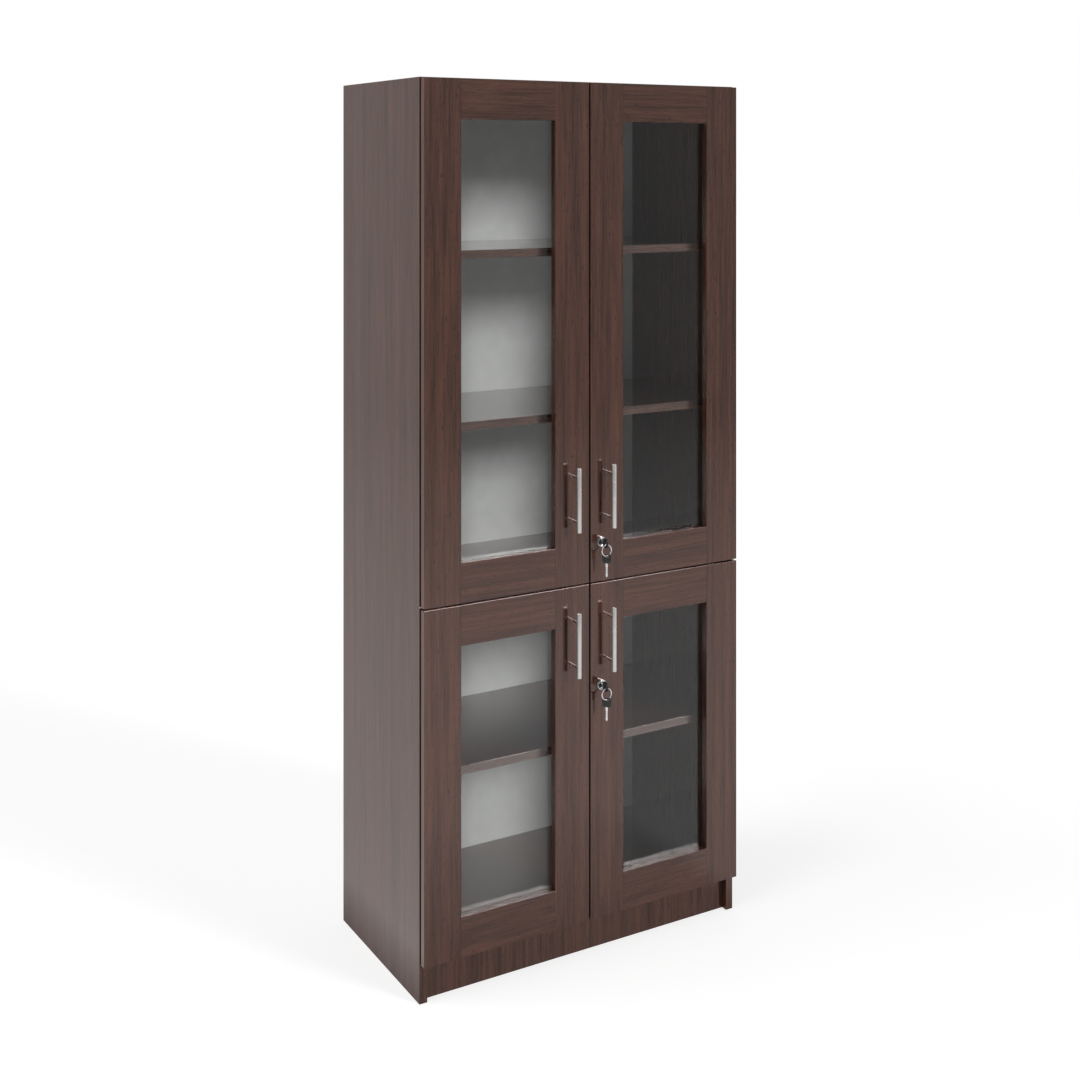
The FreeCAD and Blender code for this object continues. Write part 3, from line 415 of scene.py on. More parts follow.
def metal_finish(name, tone, roughness, scratch, depth, bare=1.0):
    """Metal with scratches or brushing of a given size; bare is below 1 under a clear satin lacquer."""
    smudge, dulled, uneven = 0.012, 0.95, 0.07
    scratch_share, smudge_share = 0.6, 0.4
    finish, tree, shader = new_finish(name)
    scratches = pattern(tree, scratch, 3.0, 0.6)
    smudges = spread(tree, pattern(tree, (smudge,) * 3, 3.0), NOISE_LOW, NOISE_HIGH)
    wear = combine(tree, "ADD", combine(tree, "MULTIPLY", scratches, scratch_share),
                   combine(tree, "MULTIPLY", smudges, smudge_share))
    rough = spread(tree, wear, 0.25, 0.75, roughness * (1.0 - uneven), roughness * (1.0 + uneven))
    dull = [dulled * part for part in tone]
    tree.links.new(blend(tree, smudges, dull, tone), shader.inputs["Base Color"])
    tree.links.new(rough, shader.inputs["Roughness"])
    relief(tree, shader, scratches, depth)
    shader.inputs["Metallic"].default_value = bare
    return finish


def glass_finish(name, glass):
    """Clear pane that lets lamp light through, with a faint smear on its face."""
    smear_size, smear_roughness, darker = (0.09, 0.09, 0.16), 0.015, 0.985
    finish, tree, shader = new_finish(name)
    smear = spread(tree, pattern(tree, smear_size, 4.0), 0.35, 0.65)
    dark = [darker * part for part in glass.tint]
    tree.links.new(blend(tree, smear, dark, glass.tint), shader.inputs["Base Color"])
    tree.links.new(spread(tree, smear, 0.0, 1.0, 0.0, smear_roughness), shader.inputs["Roughness"])
    shader.inputs["Transmission Weight"].default_value = 1.0
    shader.inputs["IOR"].default_value = glass.bending
    path = tree.nodes.new("ShaderNodeLightPath")
    lamp_rays = combine(tree, "MAXIMUM", path.outputs["Is Shadow Ray"], path.outputs["Is Diffuse Ray"])
    through = tree.nodes.new("ShaderNodeBsdfTransparent")
    through.inputs["Color"].default_value = (*glass.lamp_tint, 1.0)
    show(tree, choose(tree, lamp_rays, shader.outputs["BSDF"], through.outputs["BSDF"]))
    return finish


def dress(node, finish, rounding=0.0):
    """Gives a CAD node its finish and, where asked, softens its edges."""
    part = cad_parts[node]
    part.data.materials.clear()
    part.data.materials.append(finish)
    if not rounding:
        return
    weld = part.modifiers.new("Joined corners", "WELD")
    weld.merge_threshold = SAME_CAD_CORNER
    ease = part.modifiers.new("Eased edges", "BEVEL")
    ease.width = rounding
    ease.segments = 2
    ease.loop_slide = False
    ease.limit_method = "ANGLE"
    ease.angle_limit = SHARP


def turned(profile, steps=48):
    """Round body about Z, spun from (radius, height) pairs."""
    shape = bmesh.new()
    row = [shape.verts.new((radius, 0.0, height)) for radius, height in profile]
    for low, high in zip(row, row[1:]):
        shape.edges.new((low, high))
    bmesh.ops.spin(shape, geom=shape.verts[:] + shape.edges[:], cent=(0, 0, 0), axis=(0, 0, 1),
                   angle=2 * pi, steps=steps, use_merge=True)
    tidy(shape)
    return shape


def tidy(shape):
    """Merges doubled corners and turns all faces outwards."""
    bmesh.ops.remove_doubles(shape, verts=shape.verts, dist=SAME_CORNER)
    bmesh.ops.recalc_face_normals(shape, faces=shape.faces)


def ease_corners(shape, width, over=SHARP, segments=2):
    """Rounds every edge of a shape that turns by more than an angle."""
    sharp = [edge for edge in shape.edges if edge.is_manifold and edge.calc_face_angle() > over]
    bmesh.ops.bevel(shape, geom=sharp, offset=width, segments=segments, profile=0.5,
                    affect="EDGES", material=-1, clamp_overlap=True)


def moved(shape, matrix):
    """Carries a shape to its place."""
    bmesh.ops.transform(shape, matrix=matrix, verts=shape.verts)
    return shape


def at(x, y, z, turn=None):
    """Matrix to a place, with a turn made before it."""
    place = Matrix.Translation((x, y, z))
    return place @ turn if turn else place


BACKWARDS = Matrix.Rotation(-pi / 2, 4, "X")
FORWARDS = Matrix.Rotation(pi / 2, 4, "X")
RIGHTWARDS = Matrix.Rotation(pi / 2, 4, "Y")
LEFTWARDS = Matrix.Rotation(-pi / 2, 4, "Y")


def joined(shapes):
    """One shape of several, with each face's finish kept."""
    whole = bmesh.new()
    for shape in shapes:
        part = bpy.data.meshes.new("part")
        shape.to_mesh(part)
        shape.free()
        whole.from_mesh(part)
        bpy.data.meshes.remove(part)
    return whole


def in_second_finish(shape):
    """Gives every face of a shape the second of its piece's finishes."""
    for face in shape.faces:
        face.material_index = 1
    return shape


def add_piece(name, shape, body, finishes, stands_for=()):
    """Makes a shape a piece of the bookcase that moves with a body."""
    for face in shape.faces:
        face.smooth = True
    for edge in shape.edges:
        edge.smooth = edge.is_manifold and edge.calc_face_angle() < SMOOTH
    mesh = bpy.data.meshes.new(name)
    shape.to_mesh(mesh)
    shape.free()
    for finish in finishes:
        mesh.materials.append(finish)
    piece = bpy.data.objects.new(name, mesh)
    bpy.context.scene.collection.objects.link(piece)
    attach(piece, body)
    if stands_for:
        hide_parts(*stands_for)


def add_sheet(shape, width, low, high, z=0.0, columns=1, rows=1):
    """Draws a flat sheet in XY from low to high along Y, and gives its corners."""
    corners = bmesh.ops.create_grid(shape, x_segments=columns, y_segments=rows, size=0.5)["verts"]
    bmesh.ops.scale(shape, vec=(width, high - low, 1.0), verts=corners)
    bmesh.ops.translate(shape, vec=(0.0, (low + high) / 2, z), verts=corners)
    return corners


def round_off(shape, corners, radius):
    """Rounds the corners of a flat sheet."""
    bmesh.ops.bevel(shape, geom=corners, offset=radius, segments=6, profile=0.5,
                    affect="VERTICES", material=-1)


def thicken(shape, faces, thickness):
    """Extrudes flat faces upwards."""
    grown = bmesh.ops.extrude_face_region(shape, geom=faces)["geom"]
    bmesh.ops.translate(shape, vec=(0.0, 0.0, thickness),
                        verts=[item for item in grown if isinstance(item, bmesh.types.BMVert)])


def grow_rim(shape, rim):
    """Extrudes a rim of edges in place, and gives the new rim and its corners."""
    drawn = bmesh.ops.extrude_edge_only(shape, edges=rim)["geom"]
    grown = [item for item in drawn if isinstance(item, bmesh.types.BMEdge) and item.is_boundary]
    return grown, {vert for edge in grown for vert in edge.verts}


def rounded_plate(width, low, high, corner, thickness):
    """Flat plate in XY from low to high, with rounded corners, centred on Z."""
    shape = bmesh.new()
    round_off(shape, add_sheet(shape, width, low, high, -thickness / 2), corner)
    thicken(shape, shape.faces[:], thickness)
    tidy(shape)
    return shape


def hollow_plate(outer, inner, thickness):
    """Plate between two outlines, each a function that draws its loop of edges in XY."""
    shape = bmesh.new()
    edges = outer(shape) + inner(shape)
    ring = bmesh.ops.bridge_loops(shape, edges=edges)["faces"]
    thicken(shape, ring, thickness)
    bmesh.ops.translate(shape, vec=(0.0, 0.0, -thickness / 2), verts=shape.verts)
    tidy(shape)
    return shape


def rounded_loop(width, low, high, corner):
    """Function that draws a rectangle with rounded corners."""

    def draw(shape):
        before = set(shape.edges)
        round_off(shape, add_sheet(shape, width, low, high), corner)
        drawn = [edge for edge in shape.edges if edge not in before]
        faces = list({face for edge in drawn for face in edge.link_faces})
        bmesh.ops.delete(shape, geom=faces, context="FACES_ONLY")
        return drawn

    return draw


def polygon_loop(corners, radius, cuts=0):
    """Function that draws a regular polygon, each side cut into equal lengths."""

    def draw(shape):
        before = set(shape.edges)
        bmesh.ops.create_circle(shape, segments=corners, radius=radius)
        drawn = [edge for edge in shape.edges if edge not in before]
        if cuts:
            bmesh.ops.subdivide_edges(shape, edges=drawn, cuts=cuts)
            drawn = [edge for edge in shape.edges if edge not in before]
        return drawn

    return draw


def hexagon_nut(circle, hole, height):
    """Six-sided nut about Z with a round hole, standing on zero."""
    sides, steps, rounding, flattest = 6, 8, 0.0003, radians(25.0)
    outline = polygon_loop(sides, circle, steps - 1)
    shape = hollow_plate(outline, polygon_loop(sides * steps, hole), height)
    ease_corners(shape, rounding, flattest)
    return moved(shape, at(0.0, 0.0, height / 2))


def cross_screw(radius, height, shank=0.0, shank_radius=0.002):
    """Pan-head screw along Z: head above zero with a cross recess, shank below."""
    cross_reach, cross_half, cross_depth, cross_taper = 0.5 * radius, 0.12 * radius, 0.55 * height, 0.8
    foot = [(0.0, -shank), (shank_radius * 0.8, -shank), (shank_radius, -0.9 * shank), (shank_radius, 0.0)]
    dome = [(radius, 0.0), (radius, 0.4 * height), (0.93 * radius, 0.68 * height),
            (0.78 * radius, 0.9 * height), (0.58 * radius, height)]
    shape = turned((foot if shank else [(0.0, 0.0)]) + dome, 24)
    rim = [edge for edge in shape.edges if edge.is_boundary]
    for floor, narrow in ((0.0, 1.0), (cross_depth, cross_taper)):
        rim, corners = grow_rim(shape, rim)
        for vert in corners:
            turn = abs((atan2(vert.co.y, vert.co.x) + pi / 4) % (pi / 2) - pi / 4)
            reach = min(cross_reach, cross_half / max(sin(turn), 0.01)) * narrow
            vert.co.xy = vert.co.xy.normalized() * reach
            vert.co.z = height - floor
    bmesh.ops.holes_fill(shape, edges=rim, sides=0)
    tidy(shape)
    return shape


class BOOKCASE_OT_boards(bpy.types.Operator):
    """Finish the carcass boards, the shelves and the back panel"""

    bl_idname = "bookcase.boards"
    bl_label = "Finish the carcass"
    bl_options = {"REGISTER", "UNDO"}

    def execute(self, context):
        wood = context.scene.bookcase.wood
        upright = wood_finish("upright_laminate", Z_GRAIN, wood)
        cross = wood_finish("shelf_laminate", X_GRAIN, wood, wood.shelf_polish)
        for node in UPRIGHT_BOARDS:
            dress(node, upright, wood.edge_round)
        for node in CROSS_BOARDS:
            dress(node, cross, wood.edge_round)
        hardboard = painted_finish("white_hardboard", wood.back_light, wood.back_dark,
                                   roughness=0.5, grain=0.0012, depth=0.00002)
        dress("back_panel", hardboard, wood.back_round)
        return {"FINISHED"}


class BOOKCASE_OT_door_frames(bpy.types.Operator):
    """Finish the stiles and rails of the four doors"""

    bl_idname = "bookcase.door_frames"
    bl_label = "Finish the door frames"
    bl_options = {"REGISTER", "UNDO"}

    def execute(self, context):
        wood = context.scene.bookcase.wood
        stile = wood_finish("stile_laminate", Z_GRAIN, wood)
        rail = wood_finish("rail_laminate", X_GRAIN, wood)
        for level, side in DOORS:
            for member in ("hinge_stile", "meeting_stile"):
                dress(f"{level}_{side}_{member}", stile, wood.door_round)
            dress(f"{level}_{side}_top_rail", rail, wood.door_round)
            dress(f"{level}_{side}_bottom_rail", rail, wood.edge_round)
        return {"FINISHED"}


class BOOKCASE_OT_glazing(bpy.types.Operator):
    """Finish the panes and the beads that hold them"""

    bl_idname = "bookcase.glazing"
    bl_label = "Glaze the doors"
    bl_options = {"REGISTER", "UNDO"}

    def execute(self, context):
        glass = context.scene.bookcase.glass
        pane = glass_finish("clear_pane", glass)
        shade = [0.8 * part for part in glass.bead]
        bead = painted_finish("bead_plastic", glass.bead, shade, roughness=0.42, grain=0.0006, depth=0.00001)
        for level, side in DOORS:
            dress(f"{level}_{side}_glass", pane, glass.pane_round)
            dress(f"{level}_{side}_glazing_beads", bead)
        return {"FINISHED"}


class BOOKCASE_OT_fittings(bpy.types.Operator):
    """Finish hinges, pins, cams, dowels and bumpers, and add their screws"""

    bl_idname = "bookcase.fittings"
    bl_label = "Finish the fittings"
    bl_options = {"REGISTER", "UNDO"}

    def execute(self, context):
        metal, fittings = context.scene.bookcase.metal, context.scene.bookcase.fittings
        nickel = metal_finish("nickel_plate", metal.nickel, roughness=0.24,
                              scratch=(0.0006,) * 3, depth=0.000001)
        zinc = metal_finish("cast_zinc", metal.zinc, roughness=0.42,
                            scratch=(0.0004,) * 3, depth=0.000004)
        beech = painted_finish("beech", fittings.beech_light, fittings.beech_dark,
                               roughness=0.6, grain=0.0008, depth=0.00003)
        rubber = painted_finish("clear_rubber", fittings.rubber_light, fittings.rubber_dark,
                                roughness=0.35, grain=0.0006, depth=0.00001)
        dress("hinge_arms", nickel, fittings.hinge_round)
        dress("shelf_pins", nickel, fittings.pin_round)
        dress("cam_fittings", zinc, fittings.pin_round)
        dress("panel_dowels", beech, fittings.soft_round)
        dress("door_bumpers", rubber, fittings.soft_round)
        plate_screws = []
        for level, side in DOORS:
            door = f"{level}_{side}"
            dress(f"{door}_hinge_cups", nickel, fittings.hinge_round)
            cup_screws = []
            for place in self.hinge_places(fittings, level, side):
                cup_screws += self.cup_screws(fittings, door, place.z)
                plate_screws += self.plate_screws(fittings, side, place)
            add_piece(f"{door}_cup_screws", joined(cup_screws), f"{door}_door", [nickel])
        add_piece("hinge_plate_screws", joined(plate_screws), "carcass", [nickel])
        return {"FINISHED"}

    def hinge_places(self, fittings, level, side):
        """Middle of each hinge plate's seat on the side panel."""
        low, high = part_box(f"{level}_{side}_hinge_stile")
        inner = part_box("bottom_panel")[1].x if side == "right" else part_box("bottom_panel")[0].x
        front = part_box("left_side_panel")[0].y
        heights = [low.z + fittings.hinge_inset, high.z - fittings.hinge_inset]
        if level == "upper":
            heights.insert(1, (low.z + high.z) / 2)
        return [Vector((inner, front + fittings.hinge_setback, z)) for z in heights]

    def cup_screws(self, fittings, door, z):
        """The two screws of a hinge cup, in the back of its stile."""
        low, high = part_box(f"{door}_hinge_cups")
        shapes = []
        for step in (-fittings.cup_step, fittings.cup_step):
            screw = cross_screw(fittings.screw_radius, fittings.screw_height)
            shapes.append(moved(screw, at((low.x + high.x) / 2, high.y, z + step, BACKWARDS)))
        return shapes

    def plate_screws(self, fittings, side, place):
        """The screws of a hinge plate, above and below, and of its arm, in front and behind."""
        x, y, z = place
        sign, inward = (1.0, LEFTWARDS) if side == "right" else (-1.0, RIGHTWARDS)
        shapes = []
        for step in (-fittings.plate_step, fittings.plate_step):
            screw = cross_screw(fittings.screw_radius, fittings.screw_height)
            shapes.append(moved(screw, at(x - sign * fittings.plate_face, y, z + step, inward)))
        for step in (-fittings.arm_front, fittings.arm_back):
            screw = cross_screw(fittings.arm_screw_radius, fittings.arm_screw_height)
            shapes.append(moved(screw, at(x - sign * fittings.arm_face, y + step, z, inward)))
        return shapes


class BOOKCASE_OT_handles(bpy.types.Operator):
    """Build the four bar handles with their posts and screws"""

    bl_idname = "bookcase.handles"
    bl_label = "Build the handles"
    bl_options = {"REGISTER", "UNDO"}

    def execute(self, context):
        settings = context.scene.bookcase
        metal = settings.metal
        steel = metal_finish("satin_steel", metal.satin_steel, roughness=0.26,
                             scratch=(0.0002, 0.0002, 0.006), depth=0.0000001, bare=metal.bareness)
        polished = metal_finish("post_chrome", metal.chrome, roughness=0.10,
                                scratch=(0.0005,) * 3, depth=0.0000003)
        for level, side in DOORS:
            door = f"{level}_{side}"
            low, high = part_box(f"{door}_handle")
            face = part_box(f"{door}_meeting_stile")[0].y
            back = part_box(f"{door}_meeting_stile")[1].y
            shape = self.handle(settings.handle, low, high, face, back)
            add_piece(f"{door}_bar_handle", shape, f"{door}_door", [steel, polished],
                      [f"{door}_handle"])
        return {"FINISHED"}

    def handle(self, sizes, low, high, face, back):
        """Upright bar with two posts to the stile's face, and their screws from its back."""
        radius, half = (high.x - low.x) / 2, (high.z - low.z) / 2
        x, y, z = (low.x + high.x) / 2, low.y + radius, (low.z + high.z) / 2
        chamfer, post, foot = sizes.end_chamfer, sizes.post_radius, sizes.foot
        bar = turned([(0.0, -half), (radius - chamfer, -half), (radius, chamfer - half),
                      (radius, half - chamfer), (radius - chamfer, half), (0.0, half)])
        ease_corners(bar, sizes.bar_round)
        shapes = [moved(bar, at(x, y, z))]
        reach = face - y
        stem = [(0.0, 0.4 * radius), (post + 2 * foot, 0.8 * radius), (post + foot, radius + 0.2 * foot),
                (post + 0.2 * foot, radius + foot), (post, radius + 2 * foot), (post, reach - 3 * foot),
                (post + foot, reach - 2 * foot), (post + foot, reach), (0.0, reach)]
        for height in (z - sizes.post_pitch / 2, z + sizes.post_pitch / 2):
            rod = in_second_finish(turned(stem, 32))
            shapes.append(moved(rod, at(x, y, height, BACKWARDS)))
            screw = cross_screw(sizes.screw_radius, sizes.screw_height, back - face)
            shapes.append(moved(screw, at(x, back, height, BACKWARDS)))
        return joined(shapes)


class BOOKCASE_OT_locks(bpy.types.Operator):
    """Build the two cylinder locks with plug, cam and nuts"""

    bl_idname = "bookcase.locks"
    bl_label = "Build the locks"
    bl_options = {"REGISTER", "UNDO"}

    def execute(self, context):
        settings = context.scene.bookcase
        # Dark plug metal: painted shade of the lock's recess.
        plug = metal_finish("plug_metal_painted_shade", settings.metal.plug, roughness=0.22,
                            scratch=(0.0005,) * 3, depth=0.0000005)
        chrome = metal_finish("lock_chrome", settings.metal.chrome, roughness=0.06,
                              scratch=(0.0005,) * 3, depth=0.0000003)
        for level in LEVELS:
            low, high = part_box(f"{level}_lock_barrel")
            x, z = (low.x + high.x) / 2, (low.z + high.z) / 2
            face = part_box(f"{level}_right_meeting_stile")[0].y
            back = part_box(f"{level}_right_meeting_stile")[1].y
            reach, depth = face - low.y, back - face
            place = at(x, face, z, BACKWARDS)
            case = self.barrel(settings.lock, reach, depth, high.x - x, place)
            add_piece(f"{level}_lock_case", case, f"{level}_right_door", [chrome],
                      [f"{level}_lock_barrel"])
            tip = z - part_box(f"{level}_lock_plug")[0].z
            core = self.core(settings, reach, depth, tip, place)
            add_piece(f"{level}_lock_core", core, f"{level}_lock_core", [plug, chrome],
                      [f"{level}_lock_plug"])
        return {"FINISHED"}

    def barrel(self, lock, reach, depth, nut_circle, place):
        """Barrel along Z with its face below zero and its nut behind the door."""
        inside = lock.barrel_radius - lock.rim
        end = depth + lock.tail
        shape = turned([
            (lock.bore_radius, lock.recess - reach), (inside, lock.recess - reach), (inside, -reach),
            (lock.barrel_radius, -reach), (lock.barrel_radius, 0.0), (lock.body_radius, 0.0),
            (lock.body_radius, end), (lock.bore_radius, end), (lock.bore_radius, lock.recess - reach)], 64)
        ease_corners(shape, lock.rounding, segments=3)
        nut = hexagon_nut(nut_circle, lock.body_radius + lock.nut_play, lock.nut_height)
        return moved(joined([shape, moved(nut, at(0.0, 0.0, depth))]), place)

    def core(self, settings, reach, depth, tip, place):
        """Plug along Z with its keyway, the stud on its end, and the cam and nut on the stud."""
        lock, key = settings.lock, settings.key
        front, end = lock.recess - reach, depth + lock.tail
        slot_x = key.blade_thickness / 2 + lock.keyway_play
        slot_y = key.blade_width / 2 + lock.keyway_play
        plug = turned([(lock.plug_radius, front), (lock.plug_radius, end), (0.0, end)], 48)
        rim = [edge for edge in plug.edges if edge.is_boundary]
        for sunk in (0.0, lock.keyway_depth):
            rim, corners = grow_rim(plug, rim)
            for vert in corners:
                vert.co.xy = vert.co.xy / max(abs(vert.co.x / slot_x), abs(vert.co.y / slot_y))
                vert.co.z = front + sunk
        bmesh.ops.holes_fill(plug, edges=rim, sides=0)
        tidy(plug)
        half = lock.cam_width / 2
        cam = rounded_plate(lock.cam_width, -half, tip, half - lock.cam_flat, lock.cam_thickness)
        ease_corners(cam, lock.cam_round)
        moved(in_second_finish(cam), at(0.0, 0.0, end + lock.cam_thickness / 2))
        nut = hexagon_nut(lock.cam_nut_circle, lock.stud_radius, lock.cam_nut_height)
        moved(in_second_finish(nut), at(0.0, 0.0, end + lock.cam_thickness))
        chamfered = end + lock.stud_length - lock.stud_chamfer
        stud = turned([(0.0, end), (lock.stud_radius, end), (lock.stud_radius, chamfered),
                       (lock.stud_radius - lock.stud_chamfer, end + lock.stud_length),
                       (0.0, end + lock.stud_length)], 24)
        return moved(joined([plug, cam, nut, stud]), place)


class BOOKCASE_OT_keys(bpy.types.Operator):
    """Build the keys, the spare keys and their split rings"""

    bl_idname = "bookcase.keys"
    bl_label = "Build the keys"
    bl_options = {"REGISTER", "UNDO"}

    def execute(self, context):
        settings = context.scene.bookcase
        sizes, black = settings.key, settings.metal.key_black
        shade = [0.7 * part for part in black]
        plastic = painted_finish("key_plastic", black, shade, roughness=0.36, grain=0.0005, depth=0.000012)
        steel = metal_finish("blade_steel", settings.metal.chrome, roughness=0.10,
                             scratch=(0.0004,) * 3, depth=0.0000005)
        inserted = Matrix(((0, 0, 1, 0), (0, -1, 0, 0), (1, 0, 0, 0), (0, 0, 0, 1)))
        hanging = Matrix.Rotation(-pi / 4, 4, "Z") @ FORWARDS
        for level in LEVELS:
            low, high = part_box(f"{level}_key")
            middle = (low + high) / 2
            shape = moved(self.key(sizes), at(middle.x, low.y + sizes.head, middle.z, inserted))
            add_piece(f"{level}_lock_key", shape, f"{level}_lock_core", [plastic, steel],
                      [f"{level}_key"])
            low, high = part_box(f"{level}_spare_key")
            middle = (low + high) / 2
            shape = moved(self.key(sizes), at(middle.x, middle.y, high.z - sizes.head, hanging))
            add_piece(f"{level}_hanging_key", shape, f"{level}_spare", [plastic, steel],
                      [f"{level}_spare_key"])
            shape = self.ring(sizes, *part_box(f"{level}_key_ring"))
            add_piece(f"{level}_split_ring", shape, f"{level}_ring", [steel],
                      [f"{level}_key_ring"])
        return {"FINISHED"}

    def key(self, key):
        """Key flat in XY: plastic head above zero, steel blade below."""
        slot_top = key.head - key.slot_rim
        slot = rounded_loop(key.slot_width, slot_top - key.slot_height, slot_top, key.slot_corner)
        head = hollow_plate(rounded_loop(key.width, 0.0, key.head, key.corner), slot, key.thickness)
        ease_corners(head, key.head_round, segments=3)
        return joined([head, self.blade(key)])

    def blade(self, key):
        """Steel blade below zero, with teeth on both sides and a groove along each face."""
        shape = bmesh.new()
        columns, rows = 3, len(KEY_CUTS) - 1
        sheet = add_sheet(shape, key.blade_width, -key.blade_length, 0.0, -key.blade_thickness / 2,
                          columns, rows)
        for vert in sheet:
            row = round(-vert.co.y / key.blade_length * rows)
            if abs(vert.co.x) > 0.49 * key.blade_width:
                vert.co.x -= key.cut * KEY_CUTS[row] * (1 if vert.co.x > 0 else -1)
        thicken(shape, shape.faces[:], key.blade_thickness)
        tidy(shape)
        channel = [face for face in shape.faces if abs(face.normal.z) > 0.9
                   and abs(face.calc_center_median().x) < key.blade_width / (2 * columns)]
        bmesh.ops.inset_region(shape, faces=channel, thickness=key.groove_wall, depth=-key.groove_depth)
        ease_corners(shape, key.blade_round, radians(50.0), 1)
        return in_second_finish(shape)

    def ring(self, key, low, high):
        """Two turns of flat wire about Y, as in a split ring."""
        middle = (low + high) / 2
        outside = (high.x - low.x) / 2
        room = high.y - low.y
        shape = bmesh.new()
        section = bmesh.ops.create_circle(shape, segments=12, radius=0.5)["verts"]
        bmesh.ops.scale(shape, vec=(key.wire_width, key.wire, 1.0), verts=section)
        bmesh.ops.translate(shape, vec=(outside - key.wire_inset, (key.wire - room) / 2, 0.0), verts=section)
        steps = 192
        bmesh.ops.spin(shape, geom=shape.verts[:] + shape.edges[:], cent=(0, 0, 0), axis=(0, 1, 0),
                       dvec=(0.0, (room - key.wire) / steps, 0.0), angle=4 * pi, steps=steps)
        bmesh.ops.holes_fill(shape, edges=[edge for edge in shape.edges if edge.is_boundary], sides=0)
        tidy(shape)
        return moved(shape, at(middle.x, middle.y, middle.z, Matrix.Rotation(key.ring_start, 4, "Y")))


class BOOKCASE_OT_stage(bpy.types.Operator):
    """Set up the white floor, the lamps, the soft light and the camera"""

    bl_idname = "bookcase.stage"
    bl_label = "Set up the studio"
    bl_options = {"REGISTER", "UNDO"}

    def execute(self, context):
        stage = context.scene.bookcase.stage
        self.floor(stage)
        self.lamp("key_lamp", stage.lamp_strength, stage.lamp_side, stage.lamp_rise, stage.lamp_spread)
        self.lamp("side_lamp", stage.side_strength, stage.side_turn, stage.side_rise, stage.side_spread)
        self.surroundings(context.scene, stage)
        self.camera(context.scene, stage)
        context.scene.view_settings.view_transform = "Standard"
        return {"FINISHED"}

    def seen_rays(self, tree):
        """Socket that is 1 for rays from the camera, mirrors and glass."""
        path = tree.nodes.new("ShaderNodeLightPath")
        seen = combine(tree, "MAXIMUM", path.outputs["Is Camera Ray"], path.outputs["Is Glossy Ray"])
        return combine(tree, "MAXIMUM", seen, path.outputs["Is Transmission Ray"])

    def floor(self, stage):
        """Pale floor: white around the shadow where it is seen, with its own tone in mirrors."""
        shape = bmesh.new()
        bmesh.ops.create_grid(shape, x_segments=1, y_segments=1, size=stage.floor_reach)
        mesh = bpy.data.meshes.new("floor")
        shape.to_mesh(mesh)
        shape.free()
        floor = bpy.data.objects.new("floor", mesh)
        bpy.context.scene.collection.objects.link(floor)
        finish, tree, shader = new_finish("white_floor")
        seen = self.seen_rays(tree)
        tone = blend(tree, seen, (stage.floor_tone,) * 3, (stage.floor_shade,) * 3)
        tree.links.new(tone, shader.inputs["Base Color"])
        shader.inputs["Roughness"].default_value = 0.9
        shader.inputs["Specular IOR Level"].default_value = 0.0
        glow = tree.nodes.new("ShaderNodeEmission")
        glow.inputs["Strength"].default_value = stage.floor_glow
        bright = tree.nodes.new("ShaderNodeAddShader")
        tree.links.new(shader.outputs["BSDF"], bright.inputs[0])
        tree.links.new(glow.outputs["Emission"], bright.inputs[1])
        mirrored = tree.nodes.new("ShaderNodeEmission")
        tree.links.new(self.mirrored_floor(tree, stage), mirrored.inputs["Strength"])
        path = tree.nodes.new("ShaderNodeLightPath")
        by_mirror = combine(tree, "MINIMUM", path.outputs["Is Glossy Ray"], path.outputs["Glossy Depth"])
        choice = choose(tree, seen, shader.outputs["BSDF"], bright.outputs["Shader"])
        show(tree, choose(tree, by_mirror, choice, mirrored.outputs["Emission"]))
        mesh.materials.append(finish)

    def vector(self, tree, operation, first, second=(0.0, 0.0, 0.0)):
        """Vector arithmetic on a socket and a constant."""
        node = tree.nodes.new("ShaderNodeVectorMath")
        node.operation = operation
        tree.links.new(first, node.inputs[0])
        node.inputs[1].default_value = second
        return node.outputs["Value" if operation in ("LENGTH", "DOT_PRODUCT") else "Vector"]

    def ahead(self, tree, stage, direction):
        """How far a direction points to the far side of the room, from -1 to 1."""
        far_side = (-sin(stage.camera_turn), cos(stage.camera_turn), 0.0)
        return self.vector(tree, "DOT_PRODUCT", direction, far_side)

    def room_tone(self, tree, stage, direction):
        """Tone of the room as a mirror shows it, lighter behind the bookcase than in front."""
        return spread(tree, self.ahead(tree, stage, direction), -1.0, 1.0, stage.near_tone, stage.far_tone)

    def mirrored_floor(self, tree, stage):
        """Tone of the floor as a mirror shows it: painted shade at the plinth, white around, room tone far
        away.
        """
        footprint, sideways = (0.40, 0.19, 10.0), (8.0, 1.0, 1.0)
        dark_reach, light_reach = 0.05, 0.75
        place = tree.nodes.new("ShaderNodeTexCoord").outputs["Object"]
        outside = self.vector(tree, "SUBTRACT", self.vector(tree, "ABSOLUTE", place), footprint)
        outside = self.vector(tree, "MAXIMUM", outside)
        gap = self.vector(tree, "LENGTH", self.vector(tree, "MULTIPLY", outside, sideways))
        away = self.vector(tree, "LENGTH", outside)
        towards = self.vector(tree, "NORMALIZE", place)
        near = spread(tree, self.ahead(tree, stage, towards), -0.5, 0.5, 1.0, stage.beyond_tone)
        fade = tree.nodes.new("ShaderNodeMix")
        tree.links.new(spread(tree, away, stage.white_reach, stage.fade_reach), fade.inputs[0])
        tree.links.new(near, fade.inputs[2])
        tree.links.new(self.room_tone(tree, stage, towards), fade.inputs[3])
        # Painted shade on the mirrored floor, darkest next to the plinth and gone farther out.
        shade = spread(tree, gap, dark_reach, light_reach, stage.plinth_tone, 1.0)
        return combine(tree, "MULTIPLY", fade.outputs[0], shade)

    def lamp(self, name, strength, side, rise, spread_angle):
        """Lamp far away, turned to one side of the fronts and raised over the floor."""
        light = bpy.data.lights.new(name, "SUN")
        light.energy = strength
        light.angle = spread_angle
        lamp = bpy.data.objects.new(name, light)
        bpy.context.scene.collection.objects.link(lamp)
        turn = Matrix.Rotation(side, 3, "Z") @ Matrix.Rotation(pi / 2 - rise, 3, "X")
        lamp.rotation_euler = turn.to_euler()

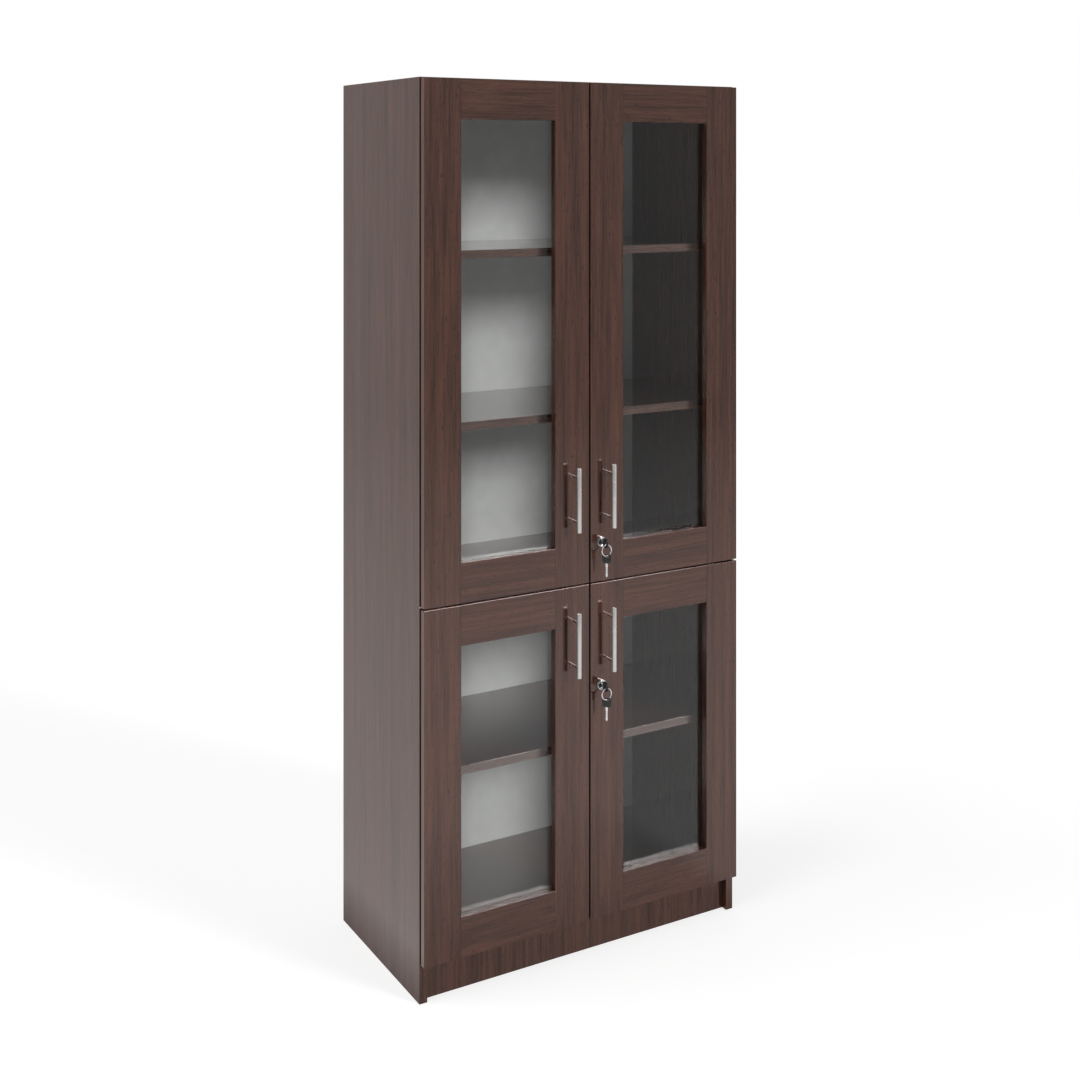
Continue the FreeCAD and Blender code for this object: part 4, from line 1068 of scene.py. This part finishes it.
    def surroundings(self, scene, stage):
        """Soft light from all round, seen as white, and with the room's tone in mirrors."""
        world = bpy.data.worlds.new("white_studio")
        world.use_nodes = True
        tree = world.node_tree
        light = next(node for node in tree.nodes if node.type == "BACKGROUND")
        light.inputs["Color"].default_value = (1.0, 1.0, 1.0, 1.0)
        path = tree.nodes.new("ShaderNodeLightPath")
        direction = tree.nodes.new("ShaderNodeTexCoord").outputs["Generated"]
        through = combine(tree, "SUBTRACT", path.outputs["Is Transmission Ray"], path.outputs["Glossy Depth"])
        white = combine(tree, "MAXIMUM", path.outputs["Is Camera Ray"], through)
        strength = tree.nodes.new("ShaderNodeMix")
        tree.links.new(self.seen_rays(tree), strength.inputs[0])
        strength.inputs[2].default_value = stage.fill
        seen_tone = combine(tree, "MAXIMUM", white, self.room_tone(tree, stage, direction))
        tree.links.new(seen_tone, strength.inputs[3])
        tree.links.new(strength.outputs[0], light.inputs["Strength"])
        scene.world = world

    def camera(self, scene, stage):
        """Level camera whose frame is shifted so that uprights stay parallel."""
        view = bpy.data.cameras.new("camera")
        view.sensor_width = 36.0
        view.lens = stage.lens
        view.shift_y = stage.drop
        view.clip_end = 200.0
        camera = bpy.data.objects.new("camera", view)
        camera.location = stage.camera_place
        camera.rotation_euler = (pi / 2, 0.0, stage.camera_turn)
        scene.collection.objects.link(camera)
        scene.camera = camera


STEPS = (BOOKCASE_OT_boards, BOOKCASE_OT_door_frames, BOOKCASE_OT_glazing, BOOKCASE_OT_fittings,
         BOOKCASE_OT_handles, BOOKCASE_OT_locks, BOOKCASE_OT_keys, BOOKCASE_OT_stage)
GROUPS = (BookcaseWood, BookcaseGlass, BookcaseMetal, BookcaseFittings, BookcaseHandle, BookcaseLock,
          BookcaseKey, BookcaseStage)


class BOOKCASE_PT_panel(bpy.types.Panel):
    """Steps and settings of the bookcase"""

    bl_idname = "BOOKCASE_PT_panel"
    bl_label = "Bookcase"
    bl_space_type = "VIEW_3D"
    bl_region_type = "UI"
    bl_category = "Bookcase"

    def draw(self, context):
        for step in STEPS:
            self.layout.operator(step.bl_idname)
        settings = context.scene.bookcase
        for group in settings.bl_rna.properties:
            if group.type == "POINTER" and group.identifier != "rna_type":
                box = self.layout.box()
                box.label(text=group.identifier.capitalize())
                values = getattr(settings, group.identifier)
                for value in values.bl_rna.properties:
                    if value.identifier not in ("rna_type", "name"):
                        box.prop(values, value.identifier)


CLASSES = (*GROUPS, BookcaseSettings, *STEPS, BOOKCASE_PT_panel)


def register():
    for item in CLASSES:
        bpy.utils.register_class(item)
    bpy.types.Scene.bookcase = PointerProperty(type=BookcaseSettings)


def unregister():
    del bpy.types.Scene.bookcase
    for item in reversed(CLASSES):
        bpy.utils.unregister_class(item)


def main():
    register()
    bpy.ops.bookcase.boards()
    bpy.ops.bookcase.door_frames()
    bpy.ops.bookcase.glazing()
    bpy.ops.bookcase.fittings()
    bpy.ops.bookcase.handles()
    bpy.ops.bookcase.locks()
    bpy.ops.bookcase.keys()
    bpy.ops.bookcase.stage()


if __name__ == "__main__":
    main()
